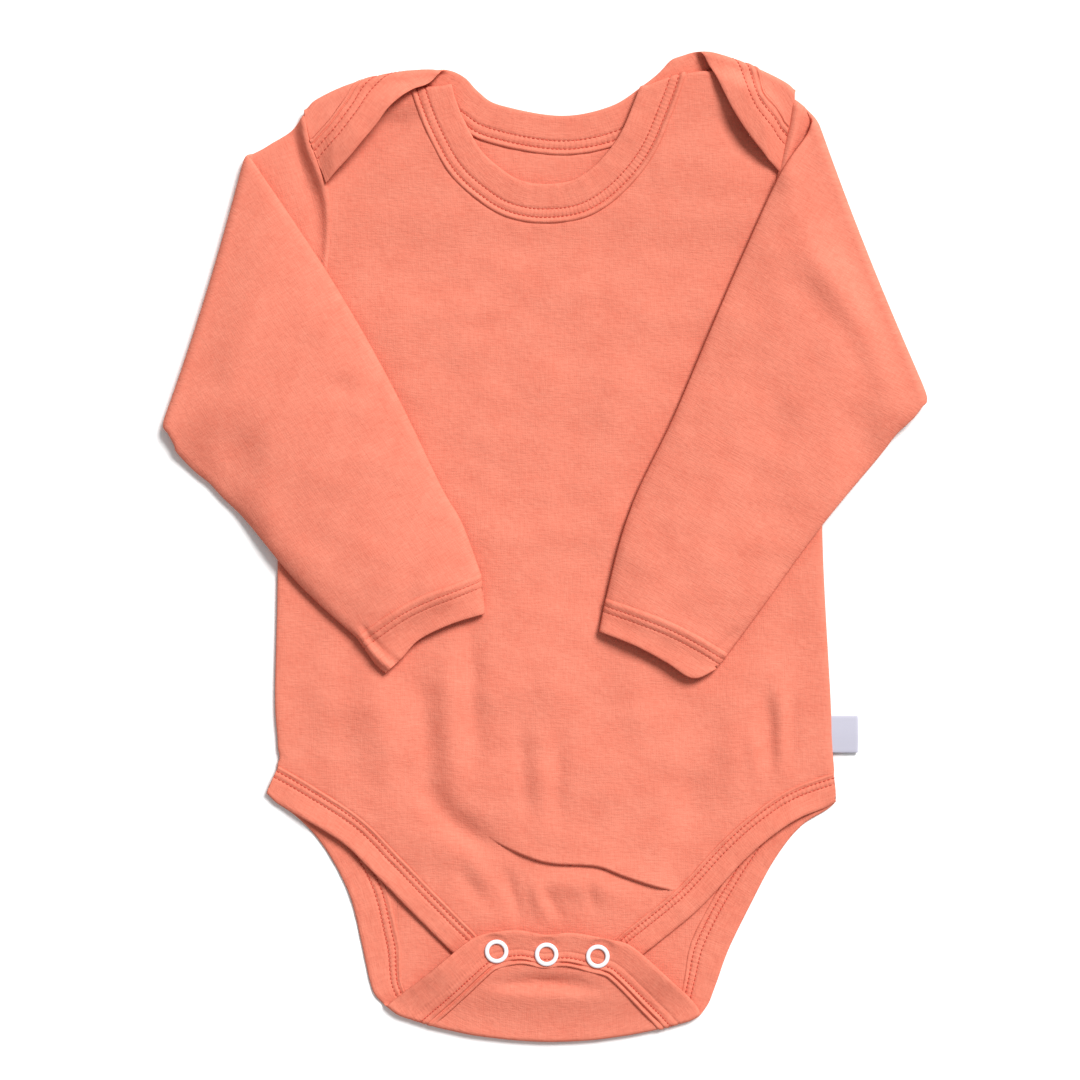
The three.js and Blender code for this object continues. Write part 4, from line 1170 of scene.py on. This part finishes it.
for side, crease, seam_edge, end, grain, mouth in (
    ("left", left_fold, left_cuff_edge, LEFT_CUFF_END, left_grain, 0.5),
    ("right", right_fold, right_cuff_edge, RIGHT_CUFF_END, right_grain, 1.2),
):
    end_edge = along(crease.unfold(end), 63)
    rings, _ = cuff_rings(crease, seam_edge, end_edge, grain, *np.array(CUFF_RELIEF).T, mouth)
    cloth = thicken(*crease.apply(*surface(rings, True)), CUFF_WALL)
    made = piece(f"cuff_{side}_band", *cloth, BAND_JERSEY, [f"cuff_{side}"], "binding")
    rows, below = cuff_rings(crease, seam_edge, end_edge, grain, np.array(CUFF_ROWS), np.zeros(2), mouth)
    over = stitches(list(rows[:, ~below, :3]), lift=0.42)
    under = stitches(list(rows[:, below, :3]), face=-1, lift=0.42)
    points, faces = joined(over, under)
    cuff_thread = piece(f"cuff_{side}_thread", crease.fold(points), faces, THREAD_DYE_AND_SHADE, [], "binding")
    flat_cut = cut_size(*cloth, round_about=2)
    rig.sheet(made, held="folded", rests_on=["front_jersey"], with_pieces=[cuff_thread], **flat_cut)

# The snaps: three ring snaps on the flap. Each has a cap ring of white lacquered brass whose prongs grip the
# socket through the cloth, and a stud on the front's crotch band under it.
def lacquer(name, colour):
    """White baked lacquer on brass, glossy, with faint marks from the press."""
    made, dye = plain_material(name)
    place = dye.node("ShaderNodeTexCoord", {}, {}, 3)
    marks = dye.node("ShaderNodeTexNoise", {}, {"Vector": place, "Scale": 900.0, "Detail": 2.0})
    dye.skin({
        "Base Color": marks.mix(tuple(0.93 * c for c in colour[:3]) + (1,), colour),
        "Roughness": 0.22 + marks * 0.16,
        "Normal": dye.bump(0.2, 0.02, marks),
        "Coat Weight": 0.4,
        "Coat Roughness": 0.12,
    })
    return made


LACQUER = lacquer("white_lacquer", (0.86, 0.84, 0.88, 1))
# A cap ring's section: radius, height over the band.
RING_SECTION = [
    (2.95, -0.2), (2.98, 0.2), (3.1, 0.45), (3.35, 0.62), (3.7, 0.7), (4.1, 0.68), (4.45, 0.52), (4.68, 0.3),
    (4.75, 0.05), (4.72, -0.2),
]
CAP_SEAT = FLAP_LEVEL + 0.4
cap_radius, cap_height = np.array(RING_SECTION).T
for number, (x, y) in enumerate(SNAPS, start=1):
    angles, radius = np.meshgrid(np.radians(np.arange(0, 360, 7.5)), cap_radius, indexing="ij")
    high = np.broadcast_to(cap_height, radius.shape)
    columns = [x + radius * np.cos(angles), y + radius * np.sin(angles), CAP_SEAT + high, radius, high]
    ring = np.stack(columns, axis=-1)
    ring = surface(np.concatenate([ring, ring[:1]]), True)
    piece(f"snap_cap_{number}", *ring, LACQUER, [f"snap_ring_{number}"], "snap")
    for hidden in ("snap_socket", "snap_stud", "snap_back_ring"):
        node = frame["nodes"][f"{hidden}_{number}"]
        for place in node.material_slots:
            place.material = LACQUER

# The label: a short loop of woven ribbon, folded in half and caught in the side seam. It is left bare.
def ribbon(name, colour, shade):
    """Satin-woven ribbon with fine cross ribs."""
    made, dye = plain_material(name)
    _, u, v = dye.cloth()
    ribs = (v * (2 * np.pi / 0.32)).wave()
    warp = (u * (2 * np.pi / 0.24)).wave()
    weave = ribs * 0.7 + warp * 0.3
    dye.skin({
        "Base Color": weave.mix(shade, colour),
        "Roughness": 0.5 + weave * 0.15,
        "Normal": dye.bump(0.5, 0.05, weave),
        "Sheen Weight": 0.1,
    })
    return made


RIBBON = ribbon("lilac_ribbon", (0.56, 0.55, 0.62, 1), (0.45, 0.44, 0.52, 1))
LABEL_ROOT, LABEL_REACH, LABEL_TALL, LABEL_Y = 113.2, 11.6, 14.4, -75.0
# The share of the loop that goes into its turn.
LABEL_TURN = 0.08
loop_run = np.linspace(-1, 1, 41)
past_turn = (abs(loop_run) - LABEL_TURN) / (1 - LABEL_TURN)
loop_x = LABEL_ROOT + LABEL_REACH * (1 - np.where(past_turn > 0, past_turn, abs(loop_run) ** 6))
loop_z = MIDDLE + 0.42 * np.sign(loop_run) * np.minimum(1, abs(loop_run) / LABEL_TURN) ** 0.5
tall = np.tile(np.linspace(-LABEL_TALL / 2, LABEL_TALL / 2, 15), (len(loop_run), 1))
x = loop_x[:, None] - 0.12 * (tall / 7) ** 2
z = loop_z[:, None] + 0.12 * np.cos(tall / 3)
u = np.broadcast_to(loop_run[:, None] * LABEL_REACH, tall.shape)
label = np.stack([x, LABEL_Y + tall, z, np.ones_like(tall), u, tall], axis=-1)
label = thicken(*surface(label), 0.3)
label_piece = piece("label_ribbon", *label, RIBBON, ["label"], "ribbon")
label_flat = 2 * LABEL_REACH * MM, LABEL_TALL * MM
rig.sheet(label_piece, flat=label_flat, held="folded", rests_on=["back_jersey"])

# The floor, the light and the camera: a white table under a large soft light from the upper right, seen
# straight from above.
bpy.ops.mesh.primitive_plane_add(size=4, location=(0, 0, -0.0001))
floor = bpy.context.object
floor.name = "floor"
table, paint = plain_material("white_table")
paint.skin({"Base Color": (0.93, 0.93, 0.93, 1), "Roughness": 0.9})
floor.data.materials.append(table)
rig.stage(floor)

scene = bpy.context.scene
scene.view_settings.view_transform = "Standard"
scene.view_settings.look = "High Contrast"
world = bpy.data.worlds.new("studio")
world.use_nodes = True
sky = world.node_tree.nodes["Background"].inputs
sky["Color"].default_value = (1, 1, 1, 1)
sky["Strength"].default_value = 0.37
scene.world = world
key = placed("key_light", bpy.data.lights.new("key_light", "SUN"))
key.data.energy = 2.6
key.data.angle = np.radians(24)
key.rotation_euler = (0, np.radians(44), np.radians(53))

camera = placed("camera", bpy.data.cameras.new("camera"))
camera.location = (-0.0022, 0.0026, 1.5)
camera.data.sensor_width = 36
camera.data.lens = 36 * 1.5 / 0.432
scene.camera = camera

with open("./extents.json", "w") as file:
    json.dump({"cad": [list(c) for c in cad_box], "visual": [list(c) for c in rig.bounds()]}, file)
